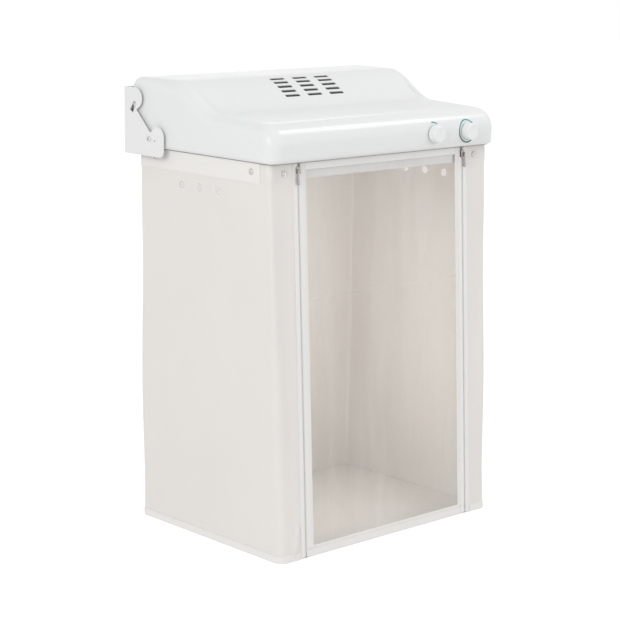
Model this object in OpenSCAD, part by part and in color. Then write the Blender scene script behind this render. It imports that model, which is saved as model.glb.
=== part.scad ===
// Wall-hung warm-air drying cabinet: a moulded fan-heater head on a steel wall bracket,
// with a fabric bag, a zipped clear window and a hanger rail below it. Millimetres.
// X is to the right, Y runs into the wall and Z is up. The origin is the middle of the
// four wall-screw holes, on the wall itself.

/* [Head] */
// Width of the moulded head over its two sides
head_w = 738; // [690:2:780]
// Depth of the head from its front face to its rear face
head_d = 504; // [496:2:520]
// Height of the head at the rear
head_h = 164; // [160:1:176]
// Height of the front shelf where the rise begins
shelf_h = 95; // [92:0.5:97]
// Fall of the shelf towards the front, per mm
shelf_fall = 0.045; // [0.03:0.005:0.06]
// Distance of the rise's foot behind the front face
rise_start = 198; // [190:1:200]
// Distance of the rise's top behind the front face
rise_end = 350; // [342:1:352]
// Radius of the nose between front face and shelf
nose_r = 50; // [48:1:54]
// Radius of the head's side edges and front corners
edge_r = 32; // [28:1:34]
// Radius of the upright rear corners
rear_edge_r = 8; // [6:1:12]
// Radius of the top's side edges where they meet the rear crown
crown_edge_r = 16; // [12:1:20]
// Radius between top and rear face
crown_r = 26; // [24:1:34]
// Radius of the turned-in lower rim
rim_r = 10; // [8:0.5:11]
// Wall of the moulding
wall_t = 2.5; // [2:0.1:3]
// How far the rise dips beside its side borders
scoop_depth = 5; // [3:0.5:6]
// Width over which that dip fades out towards the middle
scoop_w = 80; // [60:2:120]
// Height of the wall-screw centre above the head's lower rim
origin_h = 60; // [56:1:64]
// Air gap between the head and the wall
wall_gap = 22; // [18:1:30]

/* [Intake grille] */
// Length of one slot
slot_l = 47; // [38:1:50]
// Width of one slot, seen from above
slot_w = 7.6; // [6:0.2:8.4]
// Slots side by side
slot_cols = 3; // [1:1:3]
// Rows of slots
slot_rows = 5; // [2:1:5]
// Spacing of the slots along X
slot_pitch_x = 72; // [66:1:76]
// Spacing of the rows, seen from above
slot_pitch_y = 14.2; // [12:0.2:15]
// Distance of the grille's middle behind the front face
grille_at = 290; // [284:1:294]

/* [Bracket] */
// Sheet thickness of the bracket
sheet_t = 2; // [1.6:0.1:2.4]
// Gap between a cheek and the head's side
cheek_gap = 7; // [5:0.5:9]
// Inner radius of the bracket's bends
bend_r = 4; // [3:0.5:6]
// Height of the bracket's upper edge over the head's lower rim
bracket_top_h = 139; // [136:1:144]
// Drop of the bracket's lower edge below the head's lower rim
bracket_drop = 19; // [16:1:22]
// Radius of the upper hook lobe
hook_r = 25; // [24:0.5:26]
// Width of the notch behind the hook
notch_w = 13; // [12:0.5:14]
// Radius of the lower lobe
lobe_r = 24.5; // [22:0.5:26]
// Wall-screw spacing along X
wall_hole_x = 560; // [480:10:620]
// Wall-screw spacing along Z
wall_hole_z = 90; // [70:2:96]
// Wall-screw hole diameter
wall_hole_d = 7; // [5:0.5:9]

/* [Bracket fixings] */
// Distance of the side screw in front of the head's rear face
screw_back = 76; // [72:1:80]
// Height of the side screw over the lower rim
screw_h = 21.5; // [20:0.5:24]
// Side screw shank diameter
screw_d = 6; // [5:0.5:6]
// Side screw head diameter
screw_head_d = 13; // [11:0.5:14]
// Distance of the hook peg in front of the head's rear face
peg_back = 22; // [21:0.5:23]
// Height of the hook peg over the lower rim
peg_h = 99; // [98:0.5:100]
// Hook peg diameter
peg_d = 10; // [8:0.5:11]

/* [Controls] */
// X of the timer knob
timer_x = 147; // [130:1:156]
// X of the heat knob
heat_x = 261; // [245:1:272]
// Height of both knobs over the lower rim
knob_h = 38; // [35:0.5:40]
// Knob diameter
knob_d = 42; // [38:0.5:44]
// Knob length
knob_l = 18.5; // [16:0.5:20]
// Gap between a knob and the front face
knob_gap = 1.5; // [1:0.1:2]
// Spindle diameter
spindle_d = 6; // [5:0.5:7]
// Radial play of a spindle in its bush
spindle_play = 0.05; // [0.03:0.01:0.1]
// Inner radius of the printed dial ring
dial_r = 25.5; // [24:0.5:27]
// Width of the printed dial ring
dial_w = 3; // [2:0.5:4]
// Thickness of the dial inlay
dial_t = 0.5; // [0.4:0.1:0.8]

/* [Air path] */
// Distance of the fan's axis behind the front face
fan_at = 300; // [296:1:304]
// Inner diameter of the air duct
duct_d = 180; // [170:2:186]
// Wall of the air duct
duct_t = 2; // [1.5:0.1:2.5]
// Height of the duct's upper end over the lower rim
duct_top_h = 88; // [86:1:90]
// Gap between blade tips and duct
tip_gap = 4; // [3:0.5:6]
// Hub diameter of the fan
hub_d = 48; // [40:1:54]
// Number of fan blades
blades = 7; // [5:1:9]
// Height of the hub
hub_h = 22; // [18:1:24]
// Pitch angle of the blades
blade_pitch = 34; // [26:1:40]
// Motor diameter
motor_d = 58; // [50:1:60]
// Motor height
motor_h = 26; // [22:1:28]
// Turns of the heating ribbon
heater_turns = 5; // [3:1:6]
// Height of the heating ribbon
ribbon_h = 7; // [5:0.5:9]
// Ribs of the outlet grille
outlet_ribs = 12; // [8:2:16]
// Rings of the outlet grille
outlet_rings = 4; // [3:1:5]

/* [Bag frame and rail] */
// Distance between the bag's outer sides at the top
bag_w = 710; // [700:1:712]
// Distance of the bag's top behind the head's front face
bag_front = 25; // [22:1:34]
// Distance of the bag's back behind the head's front face
bag_rear = 490; // [484:1:491]
// Drop of the frame's skirt below the head's rim
skirt_drop = 40; // [34:1:44]
// Thickness of the frame's sheet
frame_t = 1.5; // [1.2:0.1:2]
// Hanger rail diameter
rail_d = 20; // [16:1:22]
// Drop of the rail's axis below the head's rim
rail_drop = 62; // [60:1:66]
// Distance of the rail behind the head's front face
rail_at = 255; // [240:5:270]

/* [Bag] */
// Length of the bag from the head's rim to its floor
bag_l = 922; // [800:2:980]
// Forward lean of the bag's front over its length
bag_lean = 46; // [30:1:56]
// Corner radius at the top of the bag
bag_r_top = 6; // [5:0.5:9]
// Radius of the bag's front corners at its floor
bag_r_floor = 22; // [10:1:34]
// Radius of the bag's rear corners at its floor
bag_r_rear = 8; // [6:1:14]
// How much each side of the bag draws in over its length
side_draw = 6; // [2:0.5:8]
// Fabric thickness
fabric_t = 1.2; // [0.8:0.1:1.4]
// Gap between layers of fabric
layer_gap = 0.2; // [0.1:0.05:0.3]
// Height of the side bands over the bag's top
band_h = 48; // [42:1:54]
// Height of the bottom hem
hem_h = 18; // [14:1:24]
// Vent hole diameter
vent_d = 20; // [14:1:22]
// Vent hole spacing
vent_pitch = 67; // [50:1:70]
// Drop of the left vent holes below the head's rim
vent_drop_left = 78; // [72:1:90]
// Drop of the right vent holes below the head's rim
vent_drop_right = 87; // [78:1:94]
// Distance of the left middle vent hole behind the head's front face
vent_at_left = 267; // [240:1:280]
// Distance of the right middle vent hole behind the head's front face
vent_at_right = 228; // [215:1:260]
// Press stud diameter
stud_d = 15; // [12:0.5:16]
// Distance of the front side stud behind the head's front face
stud_at = 84; // [75:1:95]
// Distance of a front stud from the middle
stud_x = 312; // [304:1:316]

/* [Window and zips] */
// Distance of each zip from the middle
zip_x = 270; // [262:1:274]
// Width of a zip tape from its chain to its outer edge
tape_w = 13; // [10:0.5:14]
// Gap between the two chains of a zip
chain_gap = 1.6; // [1.4:0.1:2]
// Width and thickness of one chain
chain_s = 2.4; // [2:0.1:2.8]
// Width of the white border beside the film
border_w = 18; // [10:1:20]
// Distance of the band's lower edge from the bag's top
window_band_h = 20; // [14:1:30]
// Thickness of the clear film
film_t = 0.6; // [0.4:0.05:0.8]
// Rest position of the zip sliders below the bag's top
slider_rest = 12; // [8:1:16]
// Length of a slider
slider_l = 15; // [12:0.5:18]
// Width of a slider
slider_w = 12; // [11.5:0.5:13]
// Thickness of a slider's plates
slider_t = 1.2; // [1:0.1:1.5]
// Length of a pull tab
pull_l = 34; // [26:1:38]
// Width of a pull tab's lower end
pull_w = 7.4; // [6:0.2:7.6]
// How far a pull hangs beside the zip's middle, so that the window passes it
pull_off = 3.5; // [3.4:0.1:4]
// Height of the window's own border over its fold
foot_w = 6; // [5:0.5:12]
// Height of the fixed sill below the window's fold
sill_h = 17; // [17:0.5:24]

/* [Hidden] */
$fn = 64;

eps = 0.02;
white = "white";
cream = [0.91, 0.89, 0.87];
steel = "silver";
half_w = head_w / 2;
screw_at = head_d - screw_back;
peg_at = head_d - peg_back;
cheek_x = half_w + cheek_gap;          // inner face of a cheek
bracket_w = 2 * (cheek_x + sheet_t);
opening_d = duct_d + 2 * duct_t;
pan_t = 2;
pan_under = 0.5;                       // height of the pan's underside over the rim
pan_h = pan_under + pan_t;
bush_d = 10;
bush_l = 8;
lean_angle = atan(bag_lean / bag_l);
front_l = sqrt(bag_lean * bag_lean + bag_l * bag_l);
bag_hw = bag_w / 2;
hole_play = 0.4;

// ---- places: u is the distance behind the head's front face, h the height over its rim
function fy(u) = u - head_d - wall_gap;
function hz(h) = h - origin_h;
module place(x, u, h) { translate([x, fy(u), hz(h)]) children(); }
module both_sides() { children(); mirror([1, 0, 0]) children(); }

// ---- plain shapes used throughout
module slab(x0, x1, u0, u1, h0, h1) {
    translate([x0, fy(u0), hz(h0)]) cube([x1 - x0, u1 - u0, h1 - h0]);
}
module upright(d, h0, h1) { translate([0, 0, hz(h0)]) cylinder(d = d, h = h1 - h0); }
module along_x(d, x0, x1) {
    translate([x0, 0, 0]) rotate([0, 90, 0]) cylinder(d = d, h = x1 - x0);
}
module along_y(d, l) { rotate([90, 0, 0]) cylinder(d = d, h = l); }
module round_rect(w, d, r) {
    square([w - 2 * r, d], center = true);
    square([w, d - 2 * r], center = true);
    for (sx = [-1, 1], sy = [-1, 1])
        translate([sx * (w / 2 - r), sy * (d / 2 - r)]) circle(r = r);
}
// Rounded rectangle between two depths behind the front face
module plan_rect(w, u0, u1, r) {
    translate([0, fy((u0 + u1) / 2)]) round_rect(w, u1 - u0, r);
}
function arc(c, r, a0, a1, n) = [for (i = [0 : n]) let (a = a0 + (a1 - a0) * i / n)
    [c[0] + r * cos(a), c[1] + r * sin(a)]];
// Extrudes an outline of [u, h] points along X
module across(x0, x1, pts) {
    translate([x0, 0, 0]) rotate([90, 0, 90]) linear_extrude(x1 - x0)
        polygon([for (p = pts) [fy(p[0]), hz(p[1])]]);
}

// ---- a closed skin through rings of equally many points, with flat ends; in a band the
// ring's second half runs back along the first, so its ends are strips of quads
function end_faces(n, band) = band
    ? [for (i = [0 : n / 2 - 2]) [i, i + 1, n - 2 - i, n - 1 - i]]
    : [[for (i = [0 : n - 1]) i]];
function turned(f, turn) = turn ? [for (i = [len(f) - 1 : -1 : 0]) f[i]] : f;
function ring_faces(n, k, flip, band) = concat(
    [for (f = end_faces(n, band)) turned(f, flip)],
    [for (f = end_faces(n, band)) [for (v = turned(f, !flip)) v + (k - 1) * n]],
    [for (j = [0 : k - 2], i = [0 : n - 1]) let (a = j * n + i, b = j * n + (i + 1) % n)
        each (flip
            ? [[a, b, a + n], [b, b + n, a + n]]
            : [[a, a + n, b], [b, a + n, b + n]])]);
module loft(rings, flip = false, band = false) {
    n = len(rings[0]);
    polyhedron([for (r = rings) each r], ring_faces(n, len(rings), flip, band));
}

// ==== the moulded head ====
function ease(t) = let (c = min(max(t, 0), 1)) c * c * (3 - 2 * c);
// Height of the upper surface at distance u behind the front face
function top_h(u) = shelf_h + min(u - rise_start, 0) * shelf_fall
    + (head_h - shelf_h) * ease((u - rise_start) / (rise_end - rise_start));
nose_top = top_h(nose_r);
// Dip beside each border
scoop_u0 = rise_start + 8;
scoop_u1 = rise_end - 26;
function scoop(u) = scoop_depth
    * pow(sin(180 * min(max((u - scoop_u0) / (scoop_u1 - scoop_u0), 0), 1)), 2);
rise_steps = 16;
function crown_blend(a) = rear_edge_r + (crown_edge_r - rear_edge_r) * a / 90;
// One row a point, from the rear rim over the top to the front rim:
// [u, h, normal u, normal h, inset u, inset h, edge radius]
head_line = concat(
    [for (a = [-90 : 30 : 0]) [head_d - rim_r + rim_r * cos(a), rim_r + rim_r * sin(a),
        cos(a), sin(a), 1, 0, rear_edge_r]],
    [for (a = [0 : 15 : 90]) [head_d - crown_r + crown_r * cos(a),
        head_h - crown_r + crown_r * sin(a), cos(a), sin(a), cos(a), sin(a), crown_blend(a)]],
    [for (i = [0 : rise_steps]) let (u = rise_end + (rise_start - rise_end) * i / rise_steps,
        s = atan(top_h(u + 0.5) - top_h(u - 0.5))) [u, top_h(u), -sin(s), cos(s), -sin(s),
        cos(s), edge_r]],
    [for (a = [90 : 11.25 : 180]) [nose_r + nose_r * cos(a), nose_top - nose_r
        + nose_r * sin(a), cos(a), sin(a), cos(a), sin(a), edge_r]],
    [for (a = [180 : 30 : 270]) [rim_r + rim_r * cos(a), rim_r + rim_r * sin(a),
        cos(a), sin(a), -1, 0, edge_r]]);
line_n = len(head_line);
function round_in(e, r) = e >= r ? 0 : r - sqrt(r * r - (r - e) * (r - e));
// Stations of the side edge, from the side inwards, for a skin t inside the outer one
function stations(t) = let (q = (rim_r - t) / rim_r) [0, 1.2 * q, 4 * q, rim_r - t,
    rim_r - t + 7, edge_r - t - 8, edge_r - t, edge_r - t + scoop_w];
rim_at = 3;                            // the station where the rim's opening starts
dip_at = 6;                            // the station that dips
side_n = 8;                            // stations on each side
function skin_ring(t, side, k) = let (e = stations(t)[k], x = half_w - t - e,
    floor_h = t + round_in(e, rim_r - t), dip = k == dip_at ? 1 : 0)
    [for (p = head_line) let (inset = round_in(e, p[6] - t),
        u = p[0] - t * p[2] - inset * p[4], h = p[1] - t * p[3] - inset * p[5])
        [side * x, fy(u), hz(max(h - dip * scoop(p[0]), floor_h))]];
function skin(t) = [for (k = [0 : side_n - 1]) skin_ring(t, -1, k),
    for (k = [side_n - 1 : -1 : 0]) skin_ring(t, 1, k)];
rings_n = 2 * side_n;
function at(layer, k, i) = (layer * rings_n + k) * line_n + i;
function quad(a, b, c, d) = [[a, b, c], [a, c, d]];
// The flat sides fan out from a point in their middle
cap_u = 260;
cap_h = 45;
cap_points = [for (t = [0, wall_t], side = [-1, 1]) [side * (half_w - t), fy(cap_u), hz(cap_h)]];
function cap(layer, k, c, flip) = [for (i = [0 : line_n - 1]) let (a = at(layer, k, i),
    b = at(layer, k, (i + 1) % line_n), m = 2 * rings_n * line_n + c) flip ? [b, a, m] : [a, b, m]];
shell_faces = let (last = line_n - 1, r1 = rings_n - 1) concat(
    [for (k = [0 : r1 - 1], i = [0 : last - 1]) each quad(at(0, k, i), at(0, k + 1, i),
        at(0, k + 1, i + 1), at(0, k, i + 1))],
    [for (k = [0 : r1 - 1], i = [0 : last - 1]) each quad(at(1, k, i + 1),
        at(1, k + 1, i + 1), at(1, k + 1, i), at(1, k, i))],
    cap(0, 0, 0, false), cap(0, r1, 1, true), cap(1, 0, 2, true), cap(1, r1, 3, false),
    [for (k = [0 : rim_at - 1], g = [k, r1 - 1 - k]) each quad(at(0, g, last),
        at(0, g + 1, last), at(0, g + 1, 0), at(0, g, 0))],
    [for (k = [0 : rim_at - 1], g = [k, r1 - 1 - k]) each quad(at(1, g, 0),
        at(1, g + 1, 0), at(1, g + 1, last), at(1, g, last))],
    quad(at(1, rim_at, last), at(1, rim_at, 0), at(0, rim_at, 0), at(0, rim_at, last)),
    quad(at(0, r1 - rim_at, last), at(0, r1 - rim_at, 0), at(1, r1 - rim_at, 0),
        at(1, r1 - rim_at, last)),
    [for (k = [rim_at : r1 - 1 - rim_at]) each quad(at(1, k + 1, last), at(1, k, last),
        at(0, k, last), at(0, k + 1, last))],
    [for (k = [rim_at : r1 - 1 - rim_at]) each quad(at(0, k + 1, 0), at(0, k, 0),
        at(1, k, 0), at(1, k + 1, 0))]);
module head_shell() {
    polyhedron(concat([for (r = concat(skin(0), skin(wall_t))) each r], cap_points),
        shell_faces);
}
slot_r = 2.5;
module grille_slots() {
    for (i = [0 : slot_cols - 1], j = [0 : slot_rows - 1])
        translate([(i - (slot_cols - 1) / 2) * slot_pitch_x,
            fy(grille_at + (j - (slot_rows - 1) / 2) * slot_pitch_y), hz(duct_top_h)])
            linear_extrude(head_h) round_rect(slot_l, slot_w, slot_r);
}
// Screw bosses that hold the base pan: [x, u]
boss_d = 10;
boss_in = 46;
boss_spots = [for (sx = [-1, 1], u = [boss_in, head_d - boss_in])
    [sx * (half_w - boss_in), u]];
base_screw_d = 3.5;
boss_screw_l = 14;
gland_x = 250;
gland_h = 40;
gland_d = 16;
module top_housing() {
    color(white) difference() {
        union() {
            head_shell();
            for (s = boss_spots) translate([s[0], fy(s[1]), 0])
                upright(boss_d, pan_h, top_h(s[1]) - wall_t / 2);
        }
        grille_slots();
        for (x = [timer_x, heat_x]) place(x, rim_r + 5, knob_h)
            along_y(bush_d + hole_play, rim_r + 10);
        both_sides() place(0, screw_at, screw_h)
            along_x(screw_d + hole_play, half_w - 2 * wall_t, half_w + wall_t);
        both_sides() place(0, peg_at, peg_h)
            along_x(peg_d + hole_play, half_w - 2 * wall_t, half_w + wall_t);
        for (s = boss_spots) translate([s[0], fy(s[1]), 0])
            upright(base_screw_d, pan_h - eps, pan_h + boss_screw_l);
        place(gland_x, head_d + wall_t, gland_h) along_y(gland_d + hole_play, 4 * wall_t);
    }
}

// ==== bracket and its fixings ====
lobe_c = [screw_at - 30.5, screw_h + 6.5];
hook_c = [peg_at - 1, peg_h + 15];
foot_r = 16;
wall_u = head_d + wall_gap;
cheek_line = concat([[wall_u, -bracket_drop], [wall_u, bracket_top_h]],
    arc([hook_c[0], bracket_top_h - hook_r], hook_r, 90, 240, 12),
    [[peg_at - 4.5, peg_h - 12], [screw_at - 2, screw_h + 17], [screw_at - 9, screw_h + 17]],
    arc(lobe_c, lobe_r, 60, 180, 10),
    arc([lobe_c[0] - lobe_r + foot_r, foot_r - bracket_drop], foot_r, 180, 270, 6));
module bracket_channel() {
    outer = bend_r + sheet_t;
    reach = 200;
    difference() {
        translate([0, -reach / 2]) round_rect(bracket_w, reach, outer);
        translate([0, -reach / 2 - sheet_t]) round_rect(2 * cheek_x, reach, bend_r);
        translate([-bracket_w, -2 * reach + bend_r * 2]) square([2 * bracket_w, reach]);
    }
}
notch_tilt = 35;
notch_run = 22;
// The peg rests on the notch's lower edge
module notch() {
    play = (notch_w - peg_d) / 2;
    place(0, peg_at + play * cos(notch_tilt), peg_h + play * sin(notch_tilt)) {
        along_x(notch_w, cheek_x - 1, cheek_x + sheet_t + 1);
        translate([cheek_x - 1, 0, 0]) rotate([notch_tilt, 0, 0])
            translate([0, -notch_w / 2, -notch_run])
            cube([sheet_t + 2, notch_w, notch_run]);
    }
}
module wall_bracket() {
    color(white) difference() {
        intersection() {
            translate([0, 0, hz(-bracket_drop) - 5]) linear_extrude(head_h + 20)
                bracket_channel();
            across(-bracket_w, bracket_w, cheek_line);
        }
        both_sides() notch();
        both_sides() place(0, screw_at, screw_h)
            along_x(screw_d + hole_play, cheek_x - 1, cheek_x + sheet_t + 1);
        both_sides() place(0, screw_at - 21, screw_h - 3)
            along_x(4, cheek_x - 1, cheek_x + sheet_t + 1);
        for (sx = [-1, 1], sz = [-1, 1])
            translate([sx * wall_hole_x / 2, 1, sz * wall_hole_z / 2])
                along_y(wall_hole_d, sheet_t + 2);
    }
}
module side_screws() {
    color(steel) both_sides() place(0, screw_at, screw_h) {
        difference() {
            union() {
                translate([cheek_x + sheet_t, 0, 0]) rotate([0, 90, 0])
                    rotate_extrude() polygon(concat([[0, 0], [screw_head_d / 2, 0]],
                        arc([screw_head_d / 2 - 2.5, 0.8], 2.5, 0, 90, 5), [[0, 3.3]]));
                along_x(screw_d, half_w - 14, cheek_x + sheet_t + 1);
            }
            for (a = [0, 90]) translate([cheek_x + sheet_t + 2.2, 0, 0]) rotate([a, 0, 0])
                cube([4, 1.2, 7], center = true);
        }
    }
}
nut_h = 5;
nut_d = 11.5;
module side_nuts() {
    color(steel) both_sides() place(0, screw_at, screw_h) difference() {
        translate([half_w - wall_t - nut_h, 0, 0]) rotate([0, 90, 0])
            cylinder(d = nut_d, h = nut_h, $fn = 6);
        along_x(screw_d, half_w - 20, half_w);
    }
}
module side_spacers() {
    color("gainsboro") both_sides() place(0, screw_at, screw_h) difference() {
        along_x(screw_head_d + 3, half_w, cheek_x);
        along_x(screw_d + hole_play, half_w - 1, cheek_x + 1);
    }
}
module hook_pegs() {
    color(steel) both_sides() place(0, peg_at, peg_h) {
        along_x(peg_d, half_w - wall_t - 1, cheek_x + sheet_t);
        along_x(peg_d + 6, half_w - wall_t - 2.5, half_w - wall_t);
    }
}

// ==== base pan, grille and duct ====
pan_play = 0.4;
pan_in = rim_r + pan_play;             // the pan fills the opening inside the rim
pan_r = 3;
module base_pan() {
    pan_hw = half_w - pan_in;
    corner_in = round_in(rim_r, edge_r);
    color("whitesmoke") difference() {
        translate([0, 0, hz(pan_under)]) linear_extrude(pan_t)
            plan_rect(2 * pan_hw, pan_in, head_d - pan_in, pan_r);
        both_sides() translate([0, 0, hz(0)]) linear_extrude(10)
            polygon([[half_w - edge_r, fy(pan_in)], [pan_hw, fy(pan_in + corner_in)],
                [half_w, fy(pan_in + corner_in)], [half_w, fy(0)],
                [half_w - edge_r, fy(0)]]);
        translate([0, fy(fan_at), 0]) upright(opening_d - 8, 0, 10);
        for (s = boss_spots) translate([s[0], fy(s[1]), 0])
            upright(base_screw_d + hole_play, 0, 10);
    }
}
module base_screws() {
    color(steel) for (s = boss_spots) translate([s[0], fy(s[1]), 0]) {
        upright(7, pan_under - 2, pan_under);
        upright(base_screw_d - 0.1, pan_under - 1, pan_h + boss_screw_l - 1);
    }
}
frame_gap = fabric_t + 3 * layer_gap;
frame_hw = bag_hw - frame_gap;
frame_u0 = bag_front + frame_gap + 2;
frame_u1 = bag_rear - frame_gap;
flange_w = 10;
module bag_frame() {
    function in_by(d) = [frame_hw - d, frame_u0 + d, frame_u1 - d];
    module ring(d, r, h0, h1) let (f = in_by(d)) translate([0, 0, hz(h0)])
        linear_extrude(h1 - h0) plan_rect(2 * f[0], f[1], f[2], r);
    corner = bag_r_top - frame_gap;
    color("whitesmoke") difference() {
        ring(0, corner, -skirt_drop, pan_under);
        ring(frame_t, corner - frame_t, -skirt_drop - 1, pan_under - frame_t);
        ring(frame_t + flange_w, corner - frame_t, -frame_t - 1, pan_under + 1);
    }
}
rib_t = 2;
grille_t = 3;
outlet_rim = 12;
module outlet_grille() {
    outer = opening_d / 2 + outlet_rim;
    color("whitesmoke") place(0, fan_at, pan_under - grille_t) {
        difference() {
            cylinder(r = outer, h = grille_t);
            translate([0, 0, -1]) cylinder(d = opening_d - 10, h = grille_t + 2);
        }
        for (i = [1 : outlet_rings]) let (r = i * (opening_d / 2 - 5) / (outlet_rings + 1))
            difference() {
                cylinder(r = r + rib_t / 2, h = grille_t);
                translate([0, 0, -1]) cylinder(r = r - rib_t / 2, h = grille_t + 2);
            }
        intersection() {
            cylinder(r = outer - 2, h = grille_t);
            for (i = [0 : outlet_ribs / 2 - 1]) rotate([0, 0, i * 360 / outlet_ribs])
                translate([-outer, -rib_t / 2, 0]) cube([2 * outer, rib_t, grille_t]);
        }
    }
}
arm_w = 9;
arm_h = 4;
module air_duct() {
    color("gray") {
        difference() {
            union() {
                translate([0, fy(fan_at), 0]) upright(duct_d + 2 * duct_t, pan_h, duct_top_h);
                translate([0, fy(fan_at), 0]) upright(duct_d + 8 * duct_t, pan_h, pan_h + 3);
            }
            translate([0, fy(fan_at), 0]) upright(duct_d, 0, duct_top_h + 1);
        }
        place(0, fan_at, duct_top_h - arm_h) difference() {
            union() {
                for (a = [0, 90]) rotate([0, 0, a + 45]) translate([0, 0, arm_h / 2])
                    cube([duct_d + duct_t, arm_w, arm_h], center = true);
                cylinder(d = motor_d, h = arm_h);
            }
            translate([0, 0, -1]) cylinder(d = 12, h = arm_h + 2);
        }
    }
}
shaft_d = 5;
motor_r = 4;
module fan_motor() {
    color("dimgray") place(0, fan_at, duct_top_h) difference() {
        rotate_extrude() polygon(concat([[0, 0], [motor_d / 2, 0]],
            arc([motor_d / 2 - motor_r, motor_h - motor_r], motor_r, 0, 90, 6),
            [[0, motor_h]]));
        translate([0, 0, -1]) cylinder(d = shaft_d + 0.1, h = motor_h - 4);
    }
}
impeller_h = duct_top_h - arm_h - 6 - hub_h;
module fan_impeller() {
    tip_r = duct_d / 2 - tip_gap;
    color("lightgray") place(0, fan_at, impeller_h) {
        cylinder(d = hub_d, h = hub_h);
        cylinder(d = shaft_d, h = duct_top_h - impeller_h + motor_h - 8);
        intersection() {
            cylinder(r = tip_r, h = hub_h);
            for (i = [0 : blades - 1]) rotate([0, 0, i * 360 / blades])
                translate([hub_d / 2 - 3, 0, hub_h / 2]) rotate([blade_pitch, 0, 0])
                    translate([0, -14, -0.9]) cube([tip_r, 28, 1.8]);
        }
    }
}
heater_h = 14;
frame_plate_t = 1.5;
module heater_frame() {
    color("beige") place(0, fan_at, heater_h) difference() {
        for (a = [0, 90]) rotate([0, 0, a]) translate([-duct_d / 2 + 0.3, -frame_plate_t / 2, 0])
            cube([duct_d - 0.6, frame_plate_t, 22]);
        for (a = [0, 90]) rotate([0, 0, a]) for (s = [-1, 1], i = [0 : heater_turns])
            translate([s * ribbon_r(i * 360 + (s > 0 ? a : a + 180)) - 1, -2, 7])
                cube([2, 4, 16]);
    }
}
ribbon_t = 0.8;
function ribbon_r(a) = 24 + 56 * a / (360 * heater_turns);
module heater_ribbon() {
    a_end = 360 * heater_turns;
    step = 12;
    color("chocolate") place(0, fan_at, heater_h + 7.2) linear_extrude(ribbon_h)
        polygon(concat([for (a = [15 : step : a_end - 15]) (ribbon_r(a) + ribbon_t / 2)
            * [cos(a), sin(a)]], [for (a = [a_end - 15 : -step : 15])
            (ribbon_r(a) - ribbon_t / 2) * [cos(a), sin(a)]]));
}
module thermostat() {
    color("black") place(0, fan_at - duct_d / 2 - duct_t, 50) {
        along_y(16, 6);
        translate([-9, -8, -3]) cube([18, 3, 6]);
    }
}
filter_t = 4;
filter_gap = 0.4;
module intake_filter() {
    margin = 10;
    u0 = grille_at - slot_rows / 2 * slot_pitch_y - margin;
    u1 = grille_at + slot_rows / 2 * slot_pitch_y + margin;
    steps = 12;
    function under(u, drop) = [u, top_h(u) - drop];
    hw = (slot_cols - 1) / 2 * slot_pitch_x + slot_l / 2 + margin;
    fall = (wall_t + filter_gap) / cos(30);
    color("dimgray") across(-hw, hw, concat(
        [for (i = [0 : steps]) under(u0 + (u1 - u0) * i / steps, fall)],
        [for (i = [steps : -1 : 0]) under(u0 + (u1 - u0) * i / steps, fall + filter_t)]));
}

// ==== controls ====
control_h = 46;
module control_body(x, w, d, tint) {
    color(tint) place(x, 0, knob_h) difference() {
        union() {
            translate([-w / 2, wall_t + bush_l, -control_h / 2]) cube([w, d, control_h]);
            translate([0, wall_t + bush_l + 1, 0]) along_y(bush_d, wall_t + bush_l + 1);
        }
        translate([0, d + wall_t, 0]) along_y(spindle_d + 2 * spindle_play, d + 20);
    }
}
timer_body_d = 30;
heat_body_d = 24;
module timer_body() { control_body(timer_x, 46, timer_body_d, "darkslategray"); }
module heat_switch_body() { control_body(heat_x, 38, heat_body_d, "black"); }
spindle_in = 20;
module spindle(x) {
    color(steel) place(x, spindle_in, knob_h)
        along_y(spindle_d, spindle_in + knob_gap + knob_l - 5);
}
module timer_spindle() { spindle(timer_x); }
module heat_spindle() { spindle(heat_x); }
knob_taper = 1;
knob_round = 2.5;
knob_wall = 2;
hub_wall = 3;
module knob(x) {
    r0 = knob_d / 2;
    r1 = r0 - knob_taper;
    bore = spindle_d / 2;
    depth = knob_l - 5;
    place(x, -knob_gap, knob_h) rotate([90, 0, 0]) difference() {
        rotate_extrude() polygon(concat(
            [[bore, 0], [bore + hub_wall, 0], [bore + hub_wall, knob_l - 3],
                [r1 - knob_wall, knob_l - 3], [r0 - knob_wall, 0], [r0, 0]],
            arc([r1 - knob_round, knob_l - knob_round], knob_round, 0, 90, 6),
            [[0, knob_l], [0, depth], [bore, depth]]));
        translate([-0.6, r1 - 9, knob_l - 0.5]) cube([1.2, 7, 1]);
    }
}
module timer_knob() { color(white) knob(timer_x); }
module heat_knob() { color(white) knob(heat_x); }
// Front part of the head's line, t outside the skin
front_line = [for (i = [line_n - 11 : line_n - 3]) head_line[i]];
function front_strip(t0, t1) = concat(
    [for (p = front_line) [p[0] + t0 * p[2], p[1] + t0 * p[3]]],
    [for (i = [len(front_line) - 1 : -1 : 0]) let (p = front_line[i])
        [p[0] + t1 * p[2], p[1] + t1 * p[3]]]);
module dial_sector(x, a0, a1) {
    far = 3 * dial_r;
    intersection() {
        across(x - far, x + far, front_strip(0.01, dial_t));
        place(x, 40, knob_h) rotate([90, 0, 0]) linear_extrude(60) difference() {
            intersection() {
                circle(r = dial_r + dial_w);
                polygon(concat([[0, 0]], arc([0, 0], far, a0, a1, 12)));
            }
            circle(r = dial_r);
        }
    }
}
module timer_mark() { color("teal") dial_sector(timer_x, 58, 98); }
module heat_ring() { color("teal") dial_sector(heat_x, 32, 312); }

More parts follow.
